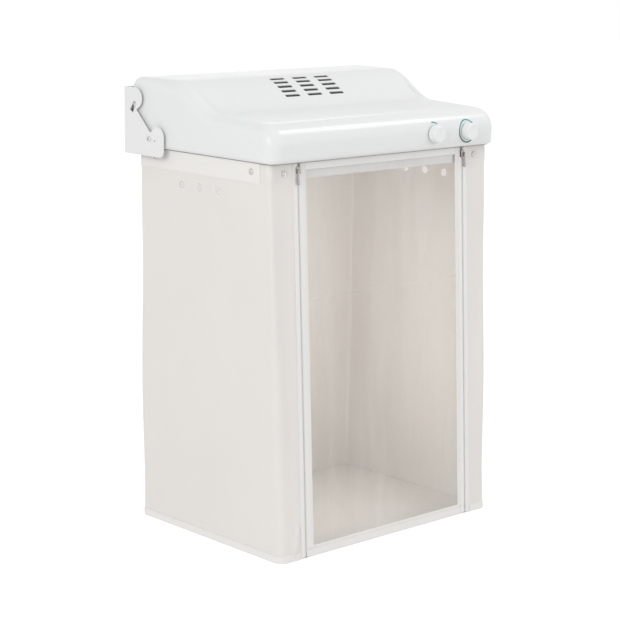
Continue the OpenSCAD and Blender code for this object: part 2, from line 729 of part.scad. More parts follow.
// ==== inner parts ====
block_x = 200;
block_u = head_d - 90;
module terminal_block() {
    color("ivory") place(block_x, block_u, pan_h) difference() {
        translate([-30, -10, 0]) cube([60, 20, 16]);
        for (i = [-2 : 2]) translate([i * 11, 0, 8]) cylinder(d = 5, h = 10);
    }
}
wire_r = 1.6;
function unit(v) = v / norm(v);
function tube_ring(p, dir, r, n) = let (d = unit(dir), s = unit(cross(d, abs(d[2]) > 0.9
    ? [1, 0, 0] : [0, 0, 1])), t = cross(d, s))
    [for (i = [0 : n - 1]) p + r * (cos(i * 360 / n) * s + sin(i * 360 / n) * t)];
// Tube through a route of points given as [x, u, h]
module tube(route, r, n) {
    pts = [for (p = route) [p[0], fy(p[1]), hz(p[2])]];
    last = len(pts) - 1;
    loft([for (i = [0 : last]) tube_ring(pts[i], i == 0 ? pts[1] - pts[0] : i == last
        ? pts[last] - pts[last - 1] : unit(pts[i] - pts[i - 1]) + unit(pts[i + 1] - pts[i]),
        r, n)], true);
}
harness_x = opening_d / 2 + 46;        // the wires pass beside the duct
floor_run = 10;                        // height of the wires over the rim
wire_in = 32;                          // height where they enter the switches
lead_h = pan_h + 8;
module wiring() {
    color("firebrick") {
        tube([[block_x - 22, block_u - 10, lead_h], [block_x - 22, block_u - 18, lead_h],
            [block_x - 26, block_u - 34, floor_run + 1], [harness_x, fan_at + 30, floor_run],
            [harness_x - 6, fan_at - 90, floor_run - 2], [timer_x, 90, 14],
            [timer_x, 54, wire_in], [timer_x, wall_t + bush_l + timer_body_d, wire_in]],
            wire_r, 6);
        tube([[block_x, block_u - 10, lead_h], [block_x, block_u - 18, lead_h],
            [block_x + 2, block_u - 34, floor_run + 1], [heat_x - 25, fan_at - 60, floor_run],
            [heat_x, 90, 14], [heat_x, 50, wire_in],
            [heat_x, wall_t + bush_l + heat_body_d, wire_in]], wire_r, 6);
        tube([[block_x + 22, block_u + 10, lead_h], [block_x + 22, block_u + 18, lead_h],
            [gland_x - 14, head_d - 44, 28], [gland_x, head_d - 28, gland_h],
            [gland_x, head_d - wall_t - 8, gland_h]], wire_r + 1.4, 6);
    }
}
gland_flange = 26;
module cord_gland() {
    color("dimgray") place(gland_x, head_d, gland_h) difference() {
        union() {
            translate([0, 10, 0]) rotate([90, 0, 0]) cylinder(d1 = 13, d2 = gland_flange - 4,
                h = 8);
            translate([0, 2, 0]) along_y(gland_flange, 2);
            translate([0, 1, 0]) along_y(gland_d, 1 + wall_t + 8);
        }
        translate([0, 12, 0]) along_y(8, 18);
    }
}

// ==== hanger rail ====
rail_hw = frame_hw - frame_t - 3;
cup_l = 16;
module hanger_rail() {
    color(steel) place(0, rail_at, -rail_drop) along_x(rail_d, -rail_hw, rail_hw);
}
module rail_brackets() {
    inner = frame_hw - frame_t;
    plate_w = rail_d + 8;
    color("whitesmoke") both_sides() difference() {
        union() {
            slab(inner - 3, inner, rail_at - plate_w / 2, rail_at + plate_w / 2, -rail_drop,
                pan_under - frame_t);
            place(0, rail_at, -rail_drop) along_x(plate_w, inner - 3, inner);
            place(0, rail_at, -rail_drop) along_x(rail_d + 6, inner - cup_l, inner);
        }
        place(0, rail_at, -rail_drop) along_x(rail_d + hole_play, inner - cup_l - 1, rail_hw);
    }
}

// ==== the bag ====
// Plan of the bag at height h below the rim: [half width, front u, rear u, front corner
// radius, rear corner radius]
rear_spread = 2;
function bag_plan(h) = let (s = -h / bag_l) [bag_hw - side_draw * s, bag_front - bag_lean * s,
    bag_rear + rear_spread * s, bag_r_top + (bag_r_floor - bag_r_top) * s,
    bag_r_top + (bag_r_rear - bag_r_top) * s];
corner_steps = 6;
function to3(p, h) = [p[0], fy(p[1]), hz(h)];
// Corner of the outline, t inside the fabric's outer face
function corner_arc(h, t, sx, rear, a0, a1) = let (b = bag_plan(h), r = b[rear ? 4 : 3],
    c = [sx * (b[0] - r), rear ? b[2] - r : b[1] + r])
    [for (p = arc(c, r - t, a0, a1, corner_steps)) to3(p, h)];
function side_ring(h, t0, t1) = concat(
    corner_arc(h, t0, -1, false, 270, 180), corner_arc(h, t0, -1, true, 180, 90),
    corner_arc(h, t1, -1, true, 90, 180), corner_arc(h, t1, -1, false, 180, 270));
function back_ring(h) = let (b = bag_plan(h), x = b[0] - b[4])
    [for (p = [[-x, b[2]], [x, b[2]], [x, b[2] - fabric_t], [-x, b[2] - fabric_t]]) to3(p, h)];
floor_h = -bag_l;
panel_ends = [0, floor_h + fabric_t];
module side_panel() {
    loft([for (h = panel_ends) side_ring(h, 0, fabric_t)], band = true);
}
module vent_holes(at, drop) {
    for (i = [-1 : 1]) place(0, at + i * vent_pitch, -drop)
        along_x(vent_d, -bag_hw - 5, -bag_hw + 20);
}
stud_drop = 22;
front_stud_drop = 25;
stud_shank_d = stud_d - 4;
stud_u = [stud_at, bag_rear - 60];
// Holes for the press studs through the side panels and bands
module stud_holes() {
    for (u = stud_u) place(0, u, -stud_drop)
        along_x(stud_shank_d + hole_play, -bag_hw - 5, -bag_hw + 20);
}
module bag_left() {
    color(cream) difference() {
        side_panel();
        vent_holes(vent_at_left, vent_drop_left);
        stud_holes();
    }
}
module bag_right() {
    color(cream) mirror([1, 0, 0]) difference() {
        side_panel();
        vent_holes(vent_at_right, vent_drop_right);
        stud_holes();
    }
}
module bag_back() {
    color(cream) loft([for (h = panel_ends) back_ring(h)]);
}
// Whole outline of the bag, t inside the fabric's outer face
function outline(h, t) = concat(
    corner_arc(h, t, -1, true, 90, 180), corner_arc(h, t, -1, false, 180, 270),
    corner_arc(h, t, 1, false, 270, 360), corner_arc(h, t, 1, true, 0, 90));
module bag_floor() {
    color(cream) loft([for (h = [floor_h, floor_h + fabric_t - 0.1]) outline(h, 0)]);
}
// Doubled hem around the floor, open in front between the zips
module bag_hem() {
    play = fabric_t + layer_gap;
    hem_open = zip_x + tape_reach + 1;
    color(cream) difference() {
        loft([for (h = [floor_h - 0.5, floor_h + hem_h]) outline(h, -play)]);
        loft([for (h = [floor_h - 1.5, floor_h + hem_h + 1]) outline(h, -layer_gap)]);
        slab(-hem_open, hem_open, bag_front - bag_lean - 20, bag_front, floor_h - 2,
            floor_h + hem_h + 2);
    }
}
// Front parts lie in the leaning front plane: x across, y out of the bag is negative,
// z down from the rim along the fabric
module front_plane() {
    translate([0, fy(bag_front), hz(0)]) rotate([-lean_angle, 0, 0]) children();
}
slider_clear = 0.8;
strip_in = zip_x + slider_w / 2 + slider_clear;
seam_gap = 0.1;                        // between a strip and its side panel
strip_top = bag_hw - bag_r_top - seam_gap;
strip_foot = bag_hw - side_draw - bag_r_floor - seam_gap;
fabric_end = front_l - fabric_t - 0.1; // lower end of the front fabric, on the floor
module front_strip_panel() {
    slope = (strip_foot - strip_top) / front_l;
    difference() {
        front_plane() translate([0, fabric_t, 0]) rotate([90, 0, 0]) linear_extrude(fabric_t)
            polygon([[-strip_in, 0], [-strip_top, 0],
                [-strip_top - slope * fabric_end, -fabric_end], [-strip_in, -fabric_end]]);
        place(-stud_x, bag_front + 20, -front_stud_drop)
            along_y(stud_shank_d + hole_play, 40);
    }
}
module bag_front_left() { color(cream) front_strip_panel(); }
module bag_front_right() { color(cream) mirror([1, 0, 0]) front_strip_panel(); }
function band_side_ring(h) = side_ring(h, -layer_gap - fabric_t, -layer_gap);
module side_bands() {
    color("ivory") both_sides() difference() {
        loft([for (h = [-0.5, -band_h]) band_side_ring(h)], band = true);
        stud_holes();
    }
}
module stud(depth) {
    cylinder(d = stud_shank_d, h = depth);
    translate([0, 0, depth]) difference() {
        cylinder(d1 = stud_d, d2 = stud_d - 2, h = 2);
        translate([0, 0, 1]) cylinder(d = stud_d - 6, h = 2);
    }
}
module press_studs() {
    color("gainsboro") both_sides() {
        for (u = stud_u) place(-frame_hw, u, -stud_drop) rotate([0, -90, 0])
            stud(bag_hw - frame_hw + layer_gap + fabric_t + 0.1);
        place(-stud_x, frame_u0, -front_stud_drop) rotate([90, 0, 0])
            stud(frame_u0 - bag_front + 1.9);
    }
}

// ==== window and zips ====
// Distances from the bag's top along the front plane
zip_end = front_l - 3;                 // lower end of the zips, above the floor
fold_at = zip_end - sill_h;            // the window folds here, above the sill
fold_gap = 0.6;
chain_top = slider_rest + slider_l + 1;
front_top = 3;                         // upper edges of the window and the tapes
tape_t = 0.6;
tape_reach = (chain_gap + chain_s) / 2 + tape_w;
module zip_half(side, z0, z1) {
    x = zip_x + side * chain_gap / 2;
    outer = x + side * chain_s;
    mid = x + side * chain_s / 2;
    translate([min(x, outer), -chain_s / 2 - tape_t, -z1]) cube([chain_s, chain_s, z1 - z0]);
    translate([min(mid, mid + side * tape_w), -tape_t - layer_gap, -z1])
        cube([tape_w, tape_t, z1 - z0]);
}
module bag_zip_tapes() {
    color(white) both_sides() front_plane() {
        zip_half(1, front_top, zip_end);
        zip_half(-1, fold_at + fold_gap, zip_end);
    }
}
module window_zip_tapes() {
    color(white) both_sides() front_plane() zip_half(-1, chain_top, fold_at);
}
border_out = zip_x - slider_w / 2 - slider_clear;
border_in = border_out - border_w;
module window_border() {
    color(cream) front_plane() {
        both_sides() translate([border_in, 0, -fold_at])
            cube([border_w, fabric_t, fold_at - front_top]);
        translate([-border_in, 0, -fold_at]) cube([2 * border_in, fabric_t, foot_w]);
    }
}
film_lap = 8;
film_foot = 2;                         // film's lower edge over the fold
module window_film() {
    color([0.9, 0.93, 0.95, 0.35]) front_plane()
        translate([-border_in - film_lap, fabric_t + layer_gap, film_foot - fold_at])
            cube([2 * (border_in + film_lap), film_t,
                fold_at - film_foot - window_band_h + film_lap]);
}
module window_band() {
    color([0.95, 0.95, 0.93]) front_plane()
        translate([-border_in, 0, -window_band_h])
            cube([2 * border_in, fabric_t, window_band_h - front_top]);
}
// Fixed strip between the fold of the window and the floor
module bag_sill() {
    color(cream) front_plane() translate([-border_out, 0, -fabric_end])
        cube([2 * border_out, fabric_t, fabric_end - fold_at - fold_gap]);
}
slot_play = 0.3;
pin_out = 2.4;                         // pull's pin outside the slider's front plate
pin_d = 1.6;
pin_down = 7;                          // pull's pin below the slider's upper end
eye_hw = 1.3;
post_gap = 0.2;
post_t = 0.9;
module slider() {
    inner = chain_s + 2 * slot_play;
    web = chain_gap - 2 * slot_play;
    front = -inner / 2 - slider_t;
    translate([0, -tape_t, -slider_rest]) {
        for (s = [0, 1]) translate([-slider_w / 2, front + s * (inner + slider_t), -slider_l])
            cube([slider_w, slider_t, slider_l]);
        translate([-web / 2, -inner / 2 - eps, -slider_l])
            cube([web, inner + 2 * eps, slider_l * 0.6]);
        translate([pull_off, front, -pin_down]) {
            for (s = [-1, 1]) translate([s * (eye_hw + post_gap + post_t / 2) - post_t / 2,
                -pin_out - 1.2, -2]) cube([post_t, pin_out + 1.2 + eps, 4]);
            translate([0, -pin_out, 0]) along_x(pin_d, -eye_hw - 2 * post_gap,
                eye_hw + 2 * post_gap);
        }
    }
}
pull_y = -tape_t - chain_s / 2 - slot_play - slider_t - pin_out;
pull_top = slider_rest + pin_down;
eye_d = 4;
tab_t = 1.4;
module pull() {
    ring_r = pull_w / 2;
    translate([pull_off, pull_y, -pull_top]) difference() {
        union() {
            along_x(eye_d, -eye_hw, eye_hw);
            rotate([90, 0, 0]) translate([0, 0, -tab_t / 2]) linear_extrude(tab_t) {
                polygon([[-eye_hw, 0], [eye_hw, 0], [ring_r - 0.6, -pull_l + 7],
                    [-ring_r + 0.6, -pull_l + 7]]);
                translate([0, -pull_l + ring_r]) circle(r = ring_r);
            }
        }
        along_x(pin_d + post_gap, -3, 3);
        translate([0, 3, -pull_l + ring_r]) along_y(pull_w - 4, 6);
    }
}
// The left half mirrors the right one
module zip_slider_left() { mirror([1, 0, 0]) zip_slider_right(); }
module zip_slider_right() { color("dimgray") front_plane() translate([zip_x, 0, 0]) slider(); }
module zip_pull_left() { mirror([1, 0, 0]) zip_pull_right(); }
module zip_pull_right() { color("gray") front_plane() translate([zip_x, 0, 0]) pull(); }

wall_bracket();
side_screws();
side_nuts();
side_spacers();
hook_pegs();
top_housing();
base_pan();
base_screws();
bag_frame();
outlet_grille();
air_duct();
fan_motor();
fan_impeller();
heater_frame();
heater_ribbon();
thermostat();
intake_filter();
timer_body();
heat_switch_body();
timer_knob();
heat_knob();
timer_spindle();
heat_spindle();
timer_mark();
heat_ring();
terminal_block();
wiring();
cord_gland();
hanger_rail();
rail_brackets();
bag_left();
bag_right();
bag_back();
bag_floor();
bag_front_left();
bag_front_right();
bag_sill();
bag_hem();
side_bands();
press_studs();
bag_zip_tapes();
window_film();
window_border();
window_band();
window_zip_tapes();
zip_slider_left();
zip_slider_right();
zip_pull_left();
zip_pull_right();
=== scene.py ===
"""Wall-hung drying cabinet: the looks of its moulded head, fabric bag, window and zips.

Sizes are in millimetres until a point is placed: x to the right, u behind the head's front
face, h over the head's lower rim, where the bag starts.
"""

import math

import bmesh
import bpy
from bpy.props import FloatProperty, FloatVectorProperty, PointerProperty
from bpy.types import Operator, Panel, PropertyGroup
from mathutils import Matrix, Vector


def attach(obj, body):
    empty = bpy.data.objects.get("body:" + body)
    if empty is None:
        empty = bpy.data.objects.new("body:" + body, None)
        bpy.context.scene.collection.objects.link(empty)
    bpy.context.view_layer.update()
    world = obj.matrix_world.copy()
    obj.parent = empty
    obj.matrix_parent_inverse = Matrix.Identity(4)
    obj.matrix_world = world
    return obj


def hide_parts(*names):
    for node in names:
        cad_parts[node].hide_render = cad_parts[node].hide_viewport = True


bl_info = {
    "name": "Drying cabinet",
    "version": (1, 0, 0),
    "blender": (4, 5, 0),
    "location": "3D View > Sidebar > Cabinet",
    "description": "Builds the visible pieces of a wall-hung drying cabinet on its frame",
    "category": "Object",
}

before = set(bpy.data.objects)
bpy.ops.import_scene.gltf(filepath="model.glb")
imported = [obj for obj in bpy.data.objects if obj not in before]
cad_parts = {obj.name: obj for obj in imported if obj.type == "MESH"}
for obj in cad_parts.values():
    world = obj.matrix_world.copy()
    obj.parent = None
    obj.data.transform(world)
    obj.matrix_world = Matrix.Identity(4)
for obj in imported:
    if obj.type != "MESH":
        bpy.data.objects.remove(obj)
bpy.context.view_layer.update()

MM = 0.001
RIGHT, FORWARD, UP = Vector((1, 0, 0)), Vector((0, -1, 0)), Vector((0, 0, 1))

# ---- sizes repeated from the construction, in millimetres
# the head: its place, reach and wall, its S-shaped rise and its radii
WALL_GAP, ORIGIN_H = 22.0, 60.0
HEAD_D, HALF_W, HEAD_H, WALL_T = 504.0, 369.0, 164.0, 2.5
SHELF_H, SHELF_FALL, RISE_START, RISE_END = 95.0, 0.045, 198.0, 350.0
NOSE_R, EDGE_R, REAR_R, CROWN_EDGE_R, CROWN_R, RIM_R = 50.0, 32.0, 8.0, 16.0, 26.0, 10.0
# its grille slots and screw bosses
SLOT_L, SLOT_W, SLOT_R = 47.0, 7.6, 2.5
SLOT_X, SLOT_Y, SLOT_AT, SLOT_COLS, SLOT_ROWS = 72.0, 14.2, 290.0, 3, 5
BOSS_IN, BOSS_D, BOSS_BORE = 46.0, 10.0, 3.5
# the knobs
TIMER_X, HEAT_X, KNOB_H = 147.0, 261.0, 38.0
KNOB_R, KNOB_L, KNOB_GAP, SPINDLE_R = 21.0, 18.5, 1.5, 3.0
# the bag: its plan at the top, how that changes on the way down, and its cloth
BAG_L, BAG_HW, BAG_FRONT, BAG_REAR, LEAN = 922.0, 355.0, 25.0, 490.0, 46.0
R_TOP, R_FLOOR, R_REAR, SIDE_DRAW, REAR_SPREAD = 6.0, 22.0, 8.0, 6.0, 2.0
FABRIC_T, LAYER_GAP, BAND_H, HEM_H = 1.2, 0.2, 48.0, 18.0
# its vents, as side, middle hole's u and drop, and its press studs
VENT_D, VENT_PITCH = 20.0, 67.0
VENTS = ((-1, 267.0, 78.0), (1, 228.0, 87.0))
STUD_R, STUD_SIDE, STUD_DROP, STUD_X, STUD_FRONT_DROP = 7.5, (84.0, 430.0), 22.0, 312.0, 25.0
# the leaning front: its zips, the window's fold, its border and its film
FRONT_L, LEAN_ANGLE = math.hypot(LEAN, BAG_L), math.atan2(LEAN, BAG_L)
ZIP_X, CHAIN_GAP, CHAIN_S, TAPE_W, TAPE_T = 270.0, 1.6, 2.4, 13.0, 0.6
ZIP_END = FRONT_L - 3
FOLD_AT, FOLD_GAP, FRONT_TOP, CHAIN_TOP = ZIP_END - 17, 0.6, 3.0, 28.0
STRIP_IN, BORDER_OUT, BORDER_W, FOOT_W, BAND_AT = 276.8, 263.2, 18.0, 6.0, 20.0
BORDER_IN = BORDER_OUT - BORDER_W
FILM_T, FILM_LAP, FILM_FOOT = 0.6, 8.0, 2.0
FABRIC_END = FRONT_L - FABRIC_T - 0.1

# ---- sizes of what is added here, in millimetres
SLOT_LEAN = 0.8  # how far a slot's walls lean back for each millimetre of height
SLOT_REACH = 14.0  # how far its cutter goes over and under the skin
# a near-black sheet under the grille slots, painted shade for the head's dark inside: its gap
# under the skin and its thickness
SHADE_SHEET_GAP, SHADE_SHEET_T = 0.5, 0.8
# a dark strip under the head's rim, painted shade for the gap there: its inset, width, depth,
# corner radii and section
SHADE_STRIP_AT, SHADE_STRIP_W, SHADE_STRIP_T, SHADE_STRIP_R, SHADE_STRIP_REAR_R = 11.2, 2.6, 1.6, 22.0, 7.0
SHADE_STRIP_SECTION = ((-0.5, -0.02), (0.5, -0.02), (0.5, -0.6), (0.38, -0.9), (0, -1),
                  (-0.38, -0.9), (-0.5, -0.6))
CREASE_W, DIP_FROM, DIP_TO, DIP_W = 1.6, RISE_START + 8, RISE_END - 26, 80.0
RIM_STATIONS = (0, 0.35, 1.2, 2.4, 4, 6.6, RIM_R)
SIDE_STATIONS = RIM_STATIONS + (
    13, 16.5, 20.5, 25, 28, 30.2, 30.5, 30.8, 31.1, 31.4, 31.7, 32, 34.5, 38, 43, 50, 60, 72,
    86, 100, 112, 150, 200, 260, 320)
KNOB_TAPER, KNOB_LIP, KNOB_SOCKET = 1.0, 2.5, 13.0
GAUZE_T, GAUZE_DEPTH = 0.26, 0.65  # its place in the fabric, as a share of the thickness
STUD_GAP, STUD_FRONT_OUT = 0.1, 1.9
HEM_CLEAR, HEM_DROP, HEM_SWELL = 1.2, 0.5, 0.35
SIDE_BAND_FROM, SIDE_BAND_WAVE = 22.0, 0.12
FLOOR_SAG, FLOOR_UNEVEN, FLOOR_WAVE = 5.0, 0.12, 60
SILL_WAVE, BORDER_WAVE, TOP_BAND_WAVE = (0.15, 37), (0.12, 23), (0.25, 29)  # reach and length
BORDER_SEAMS, BORDER_SEAM_IN = (BORDER_IN + 2.2, BORDER_OUT - 3.5), 2
TOOTH_W, TOOTH_REACH = 0.42, 0.8  # shares of the pitch and of the gap between the chains
STITCH_PITCH, STITCH_L, STITCH_W, STITCH_T, SEAM_IN = 4.2, 3.0, 0.55, 0.3, 2.5
SEAM = 0.002  # one seam's allowance in a flat cloth, in metres
FILM_WAVES = ((1.4, 71, 160, 0), (1.1, 43, -95, 2))  # reach, length over x and down, start
FILM_CREASES, FILM_FOLD_X, CREASE_SPAN, CREASE_IN, CREASE_SLANT = (318, 612), 12, 5, 1.2, 0.02
FILM_HOLD, FILM_FOOT_HOLD, LAP_SPAN = 60, 70, 12

# ---- how the bag hangs: drift in millimetres over shares of its height
# where it comes free of the frame, nears the floor and meets the hem: start and span
LOOSE_FROM, LOOSE_TO, LOOSE_LOSS = (0.06, 0.14), (0.86, 0.14), 0.85
HEM_FROM, HEM_SPAN = 0.975, 0.025
FRONT_SWAY, REAR_SWAY, REAR_STAND = (1.6, 1.7, 0.2), (2.0, 1.5, 0.32), 1.4  # reach, turns, start
PUFF_LEFT, PUFF_RIGHT, PUFF_AT, PUFF_FROM, PUFF_TO = 5.5, 1.5, (0.62, 0.38), (3, 14), (26, 26)
BILLOW_IN, BILLOW_SWAY, RIPPLE = 4.0, 1.2, 0.45
# the front strips: their slack middle, and the diagonal ridge low down
SLACK, SLACK_TO, STRIP_FREE, STRIP_HELD = 3.0, (0.6, 0.3), (0.16, 0.25), 0.35
RIDGE, RIDGE_LEFT, RIDGE_RIGHT, RIDGE_W, RIDGE_FROM = 3.8, 1.4, 0.4, 0.10, (0.84, 0.05)
RIDGE_AT, RIDGE_LEVEL, RIDGE_SLANT, RIDGE_END = 0.14, 0.87, 3.6, (HEM_FROM, 0.02)
# soft folds, as segment, place along it, width, depth and slant
FOLDS = ((2, 0.80, 0.035, 1.5, 0.05), (2, 0.30, 0.06, -1.2, -0.08), (2, 0.10, 0.05, 1.4, 0.02),
         (6, 0.24, 0.05, 1.3, 0.05), (6, 0.66, 0.07, -1.4, -0.04), (4, 0.22, 0.05, 1.6, 0.03),
         (4, 0.55, 0.09, -2.0, -0.05), (4, 0.83, 0.05, 1.5, 0.02))
# segments of the bag's plan from the left zip round the back to the right zip: strip, corner,
# side, corner, back and the same again in reverse, with the mesh columns of each
COLUMNS = (9, 9, 56, 6, 64, 6, 56, 9, 9)
SEGMENTS = len(COLUMNS)
RING_END = SEGMENTS - 1e-9

# ---- stage, in metres and watts
FLOOR_Z, FLOOR_SIZE, FLOOR_SHADE, FLOOR_SHINE = -1.97, 60, 0.86, 0.45
LAMPS = (("key", (-3.9, -1.5, 1.3), 2.2, 55), ("fill", (1.6, -4.4, 0.9), 2.8, 26),
         ("top", (2.2, -1.3, 2.4), 1.2, 22), ("rear", (1.9, 2.9, 0.6), 2.4, 16))
LAMP_AIM = (0, -0.25, -0.45)
GLOW_SIZE, GLOW_POWER, GLOW_COLOUR, GLOW_AT = (0.45, 0.8), 1.1, (1.0, 0.93, 0.87), (0, 45, -400)
WORLD_LIGHT, WORLD_SEEN = 0.68, 1.0
CAMERA_PLACE, CAMERA_AIM = (-3.1459, -3.6634, 0.467), (-0.0178, -0.276, -0.4681)
CAMERA_ROLL, FOCAL_SHARE, SENSOR = 0.756, 1910.4 / 620, 36.0

# ---- values of the made finishes: lengths in metres, ramps as from and to, then their values
POLISH_FROM, POLISH_TO, POLISH = 0.045, 0.085, 0.4
PRINT_TOP, PRINT_FOOT, PRINT_REACH = (0.03, 0.36, 0.33, 1), (0.008, 0.11, 0.065, 1), 0.02
# the film's opacity: its own faint milky tint, varied by painted vertical reflection streaks
REFLECTION_STREAKS, TINT_AND_REFLECTION = (9.0, 9.0, 1.6), (0.42, 0.78, 0.06, 0.17)
# a painted glint along the film's upper crease: its height, its profile across and its strength
CREASE_Z, CREASE_RAMP, CREASE_GLINT = -0.378, (0.0, 0.003, 0.2, 0.0), 2.5

# ---- plain finishes: colour, roughness and the values that coat takes
FINISHES = {
    "powder coat": ((0.80, 0.805, 0.80), 0.42, dict(grain=900.0, bump=0.12, mottle=0.015)),
    "plated steel": ((0.62, 0.62, 0.63), 0.28, dict(
        grain=1400.0, bump=0.08, mottle=0.08, mottle_scale=30.0, Metallic=1.0)),
    "worn zip metal": ((0.36, 0.34, 0.32), 0.34, dict(
        grain=1600.0, bump=0.15, mottle=0.3, mottle_scale=120.0, Metallic=1.0)),
    "zip tape": ((0.84, 0.835, 0.82), 0.75, dict(
        weave=1500.0, bump=0.3, mottle=0.04, mottle_scale=20.0)),
    "sewing thread": ((0.80, 0.785, 0.76), 0.6, dict(
        grain=2500.0, bump=0.3, mottle=0.05, mottle_scale=60.0)),
    "zip teeth": ((0.78, 0.77, 0.75), 0.35, dict(
        grain=1500.0, bump=0.08, mottle=0.05, mottle_scale=40.0)),
    "milky band": ((0.92, 0.905, 0.885), 0.35, dict(
        weave=700.0, bump=0.15, mottle=0.03, Alpha=0.95)),
    "vent mesh": ((0.89, 0.885, 0.88), 0.7, dict(
        weave=1300.0, bump=0.3, mottle=0.03, Alpha=0.45)),
    "stud plastic": ((0.58, 0.575, 0.56), 0.22, dict(
        grain=900.0, bump=0.05, mottle=0.08, mottle_scale=60.0, Metallic=0.7)),
    # dark strip under the head's rim: painted shade
    "painted rim shade": ((0.20, 0.185, 0.17), 0.6, dict(
        grain=900.0, bump=0.2, mottle=0.2, mottle_scale=50.0)),
    # near-black sheet under the grille: painted shade
    "painted slot shade": ((0.012, 0.012, 0.013), 0.9, dict(
        weave=700.0, bump=0.6, mottle=0.3, mottle_scale=60.0)),
    "moulded off-white": ((0.76, 0.755, 0.745), 0.5, dict(grain=500.0, bump=0.08, mottle=0.03)),
    "moulded grey": ((0.22, 0.225, 0.23), 0.5, dict(grain=500.0, bump=0.1, mottle=0.05)),
    "moulded black": ((0.03, 0.03, 0.033), 0.45, dict(grain=600.0, bump=0.1, mottle=0.1)),
    "mica and ceramic": ((0.62, 0.57, 0.46), 0.7, dict(
        grain=300.0, bump=0.3, mottle=0.25, mottle_scale=40.0)),
    "heat-tinted alloy": ((0.34, 0.22, 0.15), 0.35, dict(
        grain=1200.0, bump=0.1, mottle=0.4, mottle_scale=50.0, Metallic=1.0)),
    "filter foam": ((0.05, 0.052, 0.055), 0.95, dict(
        grain=700.0, bump=0.9, mottle=0.4, mottle_scale=90.0)),
    "wire sheath": ((0.42, 0.05, 0.04), 0.5, dict(grain=900.0, bump=0.05, mottle=0.1)),
}
# construction solids inside the head and bag, by finish
INNER_FINISHES = {
    "moulded off-white": ("base_pan", "bag_frame", "outlet_grille", "rail_brackets",
                          "side_spacers"),
    "moulded grey": ("air_duct", "fan_motor", "fan_impeller"),
    "moulded black": ("heat_switch_body", "timer_body", "thermostat", "cord_gland"),
    "mica and ceramic": ("heater_frame", "terminal_block"),
    "heat-tinted alloy": ("heater_ribbon",),
    "filter foam": ("intake_filter",),
    "wire sheath": ("wiring",),
}


def spot(x, u, h):
    """A point of the object, in metres, in the frame's axes."""
    return Vector((x * MM, (u - HEAD_D - WALL_GAP) * MM, (h - ORIGIN_H) * MM))


def front_spot(x, out, down):
    """A point on the leaning front: out of the fabric, and down from the rim along it."""
    y, z = -out, -down
    c, s = math.cos(LEAN_ANGLE), math.sin(LEAN_ANGLE)
    return spot(x, BAG_FRONT + y * c + z * s, -y * s + z * c)


def ease(t):
    t = min(max(t, 0.0), 1.0)
    return t * t * (3 - 2 * t)


def rise(value, start, span):
    """0 up to start, 1 from span further on, and a smooth way between."""
    return ease((value - start) / span)


def spread(start, stop, count):
    return [start + (stop - start) * i / (count - 1) for i in range(count)]


def turned(start, stop, count):
    """Cosine, sine and share of the way at even angles from start to stop, in degrees."""
    for a in spread(start, stop, count):
        yield math.cos(math.radians(a)), math.sin(math.radians(a)), (a - start) / (stop - start)


# ---- meshes
def linked(name, data):
    """An object of its own in the scene."""
    obj = bpy.data.objects.new(name, data)
    bpy.context.scene.collection.objects.link(obj)
    return obj


def new_piece(name, form, look, body, sharp=35.0):
    """A mesh piece with outward normals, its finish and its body."""
    verts, faces = form
    mesh = bpy.data.meshes.new(name)
    mesh.from_pydata([tuple(v) for v in verts], [], faces)
    bm = bmesh.new()
    bm.from_mesh(mesh)
    bmesh.ops.recalc_face_normals(bm, faces=bm.faces)
    bm.to_mesh(mesh)
    bm.free()
    obj = linked(name, mesh)
    mesh.materials.append(finish(look))
    smoothed(mesh, sharp)
    bpy.context.view_layer.update()
    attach(obj, body)
    return obj


def smoothed(mesh, sharp=35.0):
    mesh.shade_smooth()
    mesh.set_sharp_from_angle(angle=math.radians(sharp))


def bake_modifiers(obj):
    """Makes the evaluated mesh the piece's own."""
    depsgraph = bpy.context.evaluated_depsgraph_get()
    mesh = bpy.data.meshes.new_from_object(obj.evaluated_get(depsgraph))
    obj.modifiers.clear()
    old, obj.data = obj.data, mesh
    bpy.data.meshes.remove(old)
    smoothed(mesh)


def cut(obj, parts):
    """Cuts closed forms out of a piece and keeps the result as its mesh."""
    verts, faces = merged(*parts)
    mesh = bpy.data.meshes.new("cutter")
    mesh.from_pydata([tuple(v) for v in verts], [], faces)
    cutter = linked("cutter", mesh)
    knife = obj.modifiers.new("cut", "BOOLEAN")
    knife.operation, knife.solver, knife.object = "DIFFERENCE", "EXACT", cutter
    bake_modifiers(obj)
    bpy.data.objects.remove(cutter)
    bpy.data.meshes.remove(mesh)


def cloth(place, cols, rows, thick):
    """Vertices and faces of a thin sheet: place(col, row, depth) gives its points."""
    n, m = len(cols), len(rows)
    verts = [place(c, r, d) for d in (0.0, thick) for r in rows for c in cols]
    size = n * m
    faces = []
    for i in range(m - 1):
        for j in range(n - 1):
            a = i * n + j
            faces.append((a, a + 1, a + n + 1, a + n))
            b = a + size
            faces.append((b, b + n, b + n + 1, b + 1))
    for j in range(n - 1):
        for a in (j, (m - 1) * n + j):
            faces.append((a, a + 1, a + 1 + size, a + size))
    for i in range(m - 1):
        for a in (i * n, i * n + n - 1):
            faces.append((a, a + n, a + n + size, a + size))
    return verts, faces


def merged(*parts):
    """Several (verts, faces) as one."""
    verts, faces = [], []
    for v, f in parts:
        base = len(verts)
        verts += v
        faces += [tuple(i + base for i in face) for face in f]
    return verts, faces


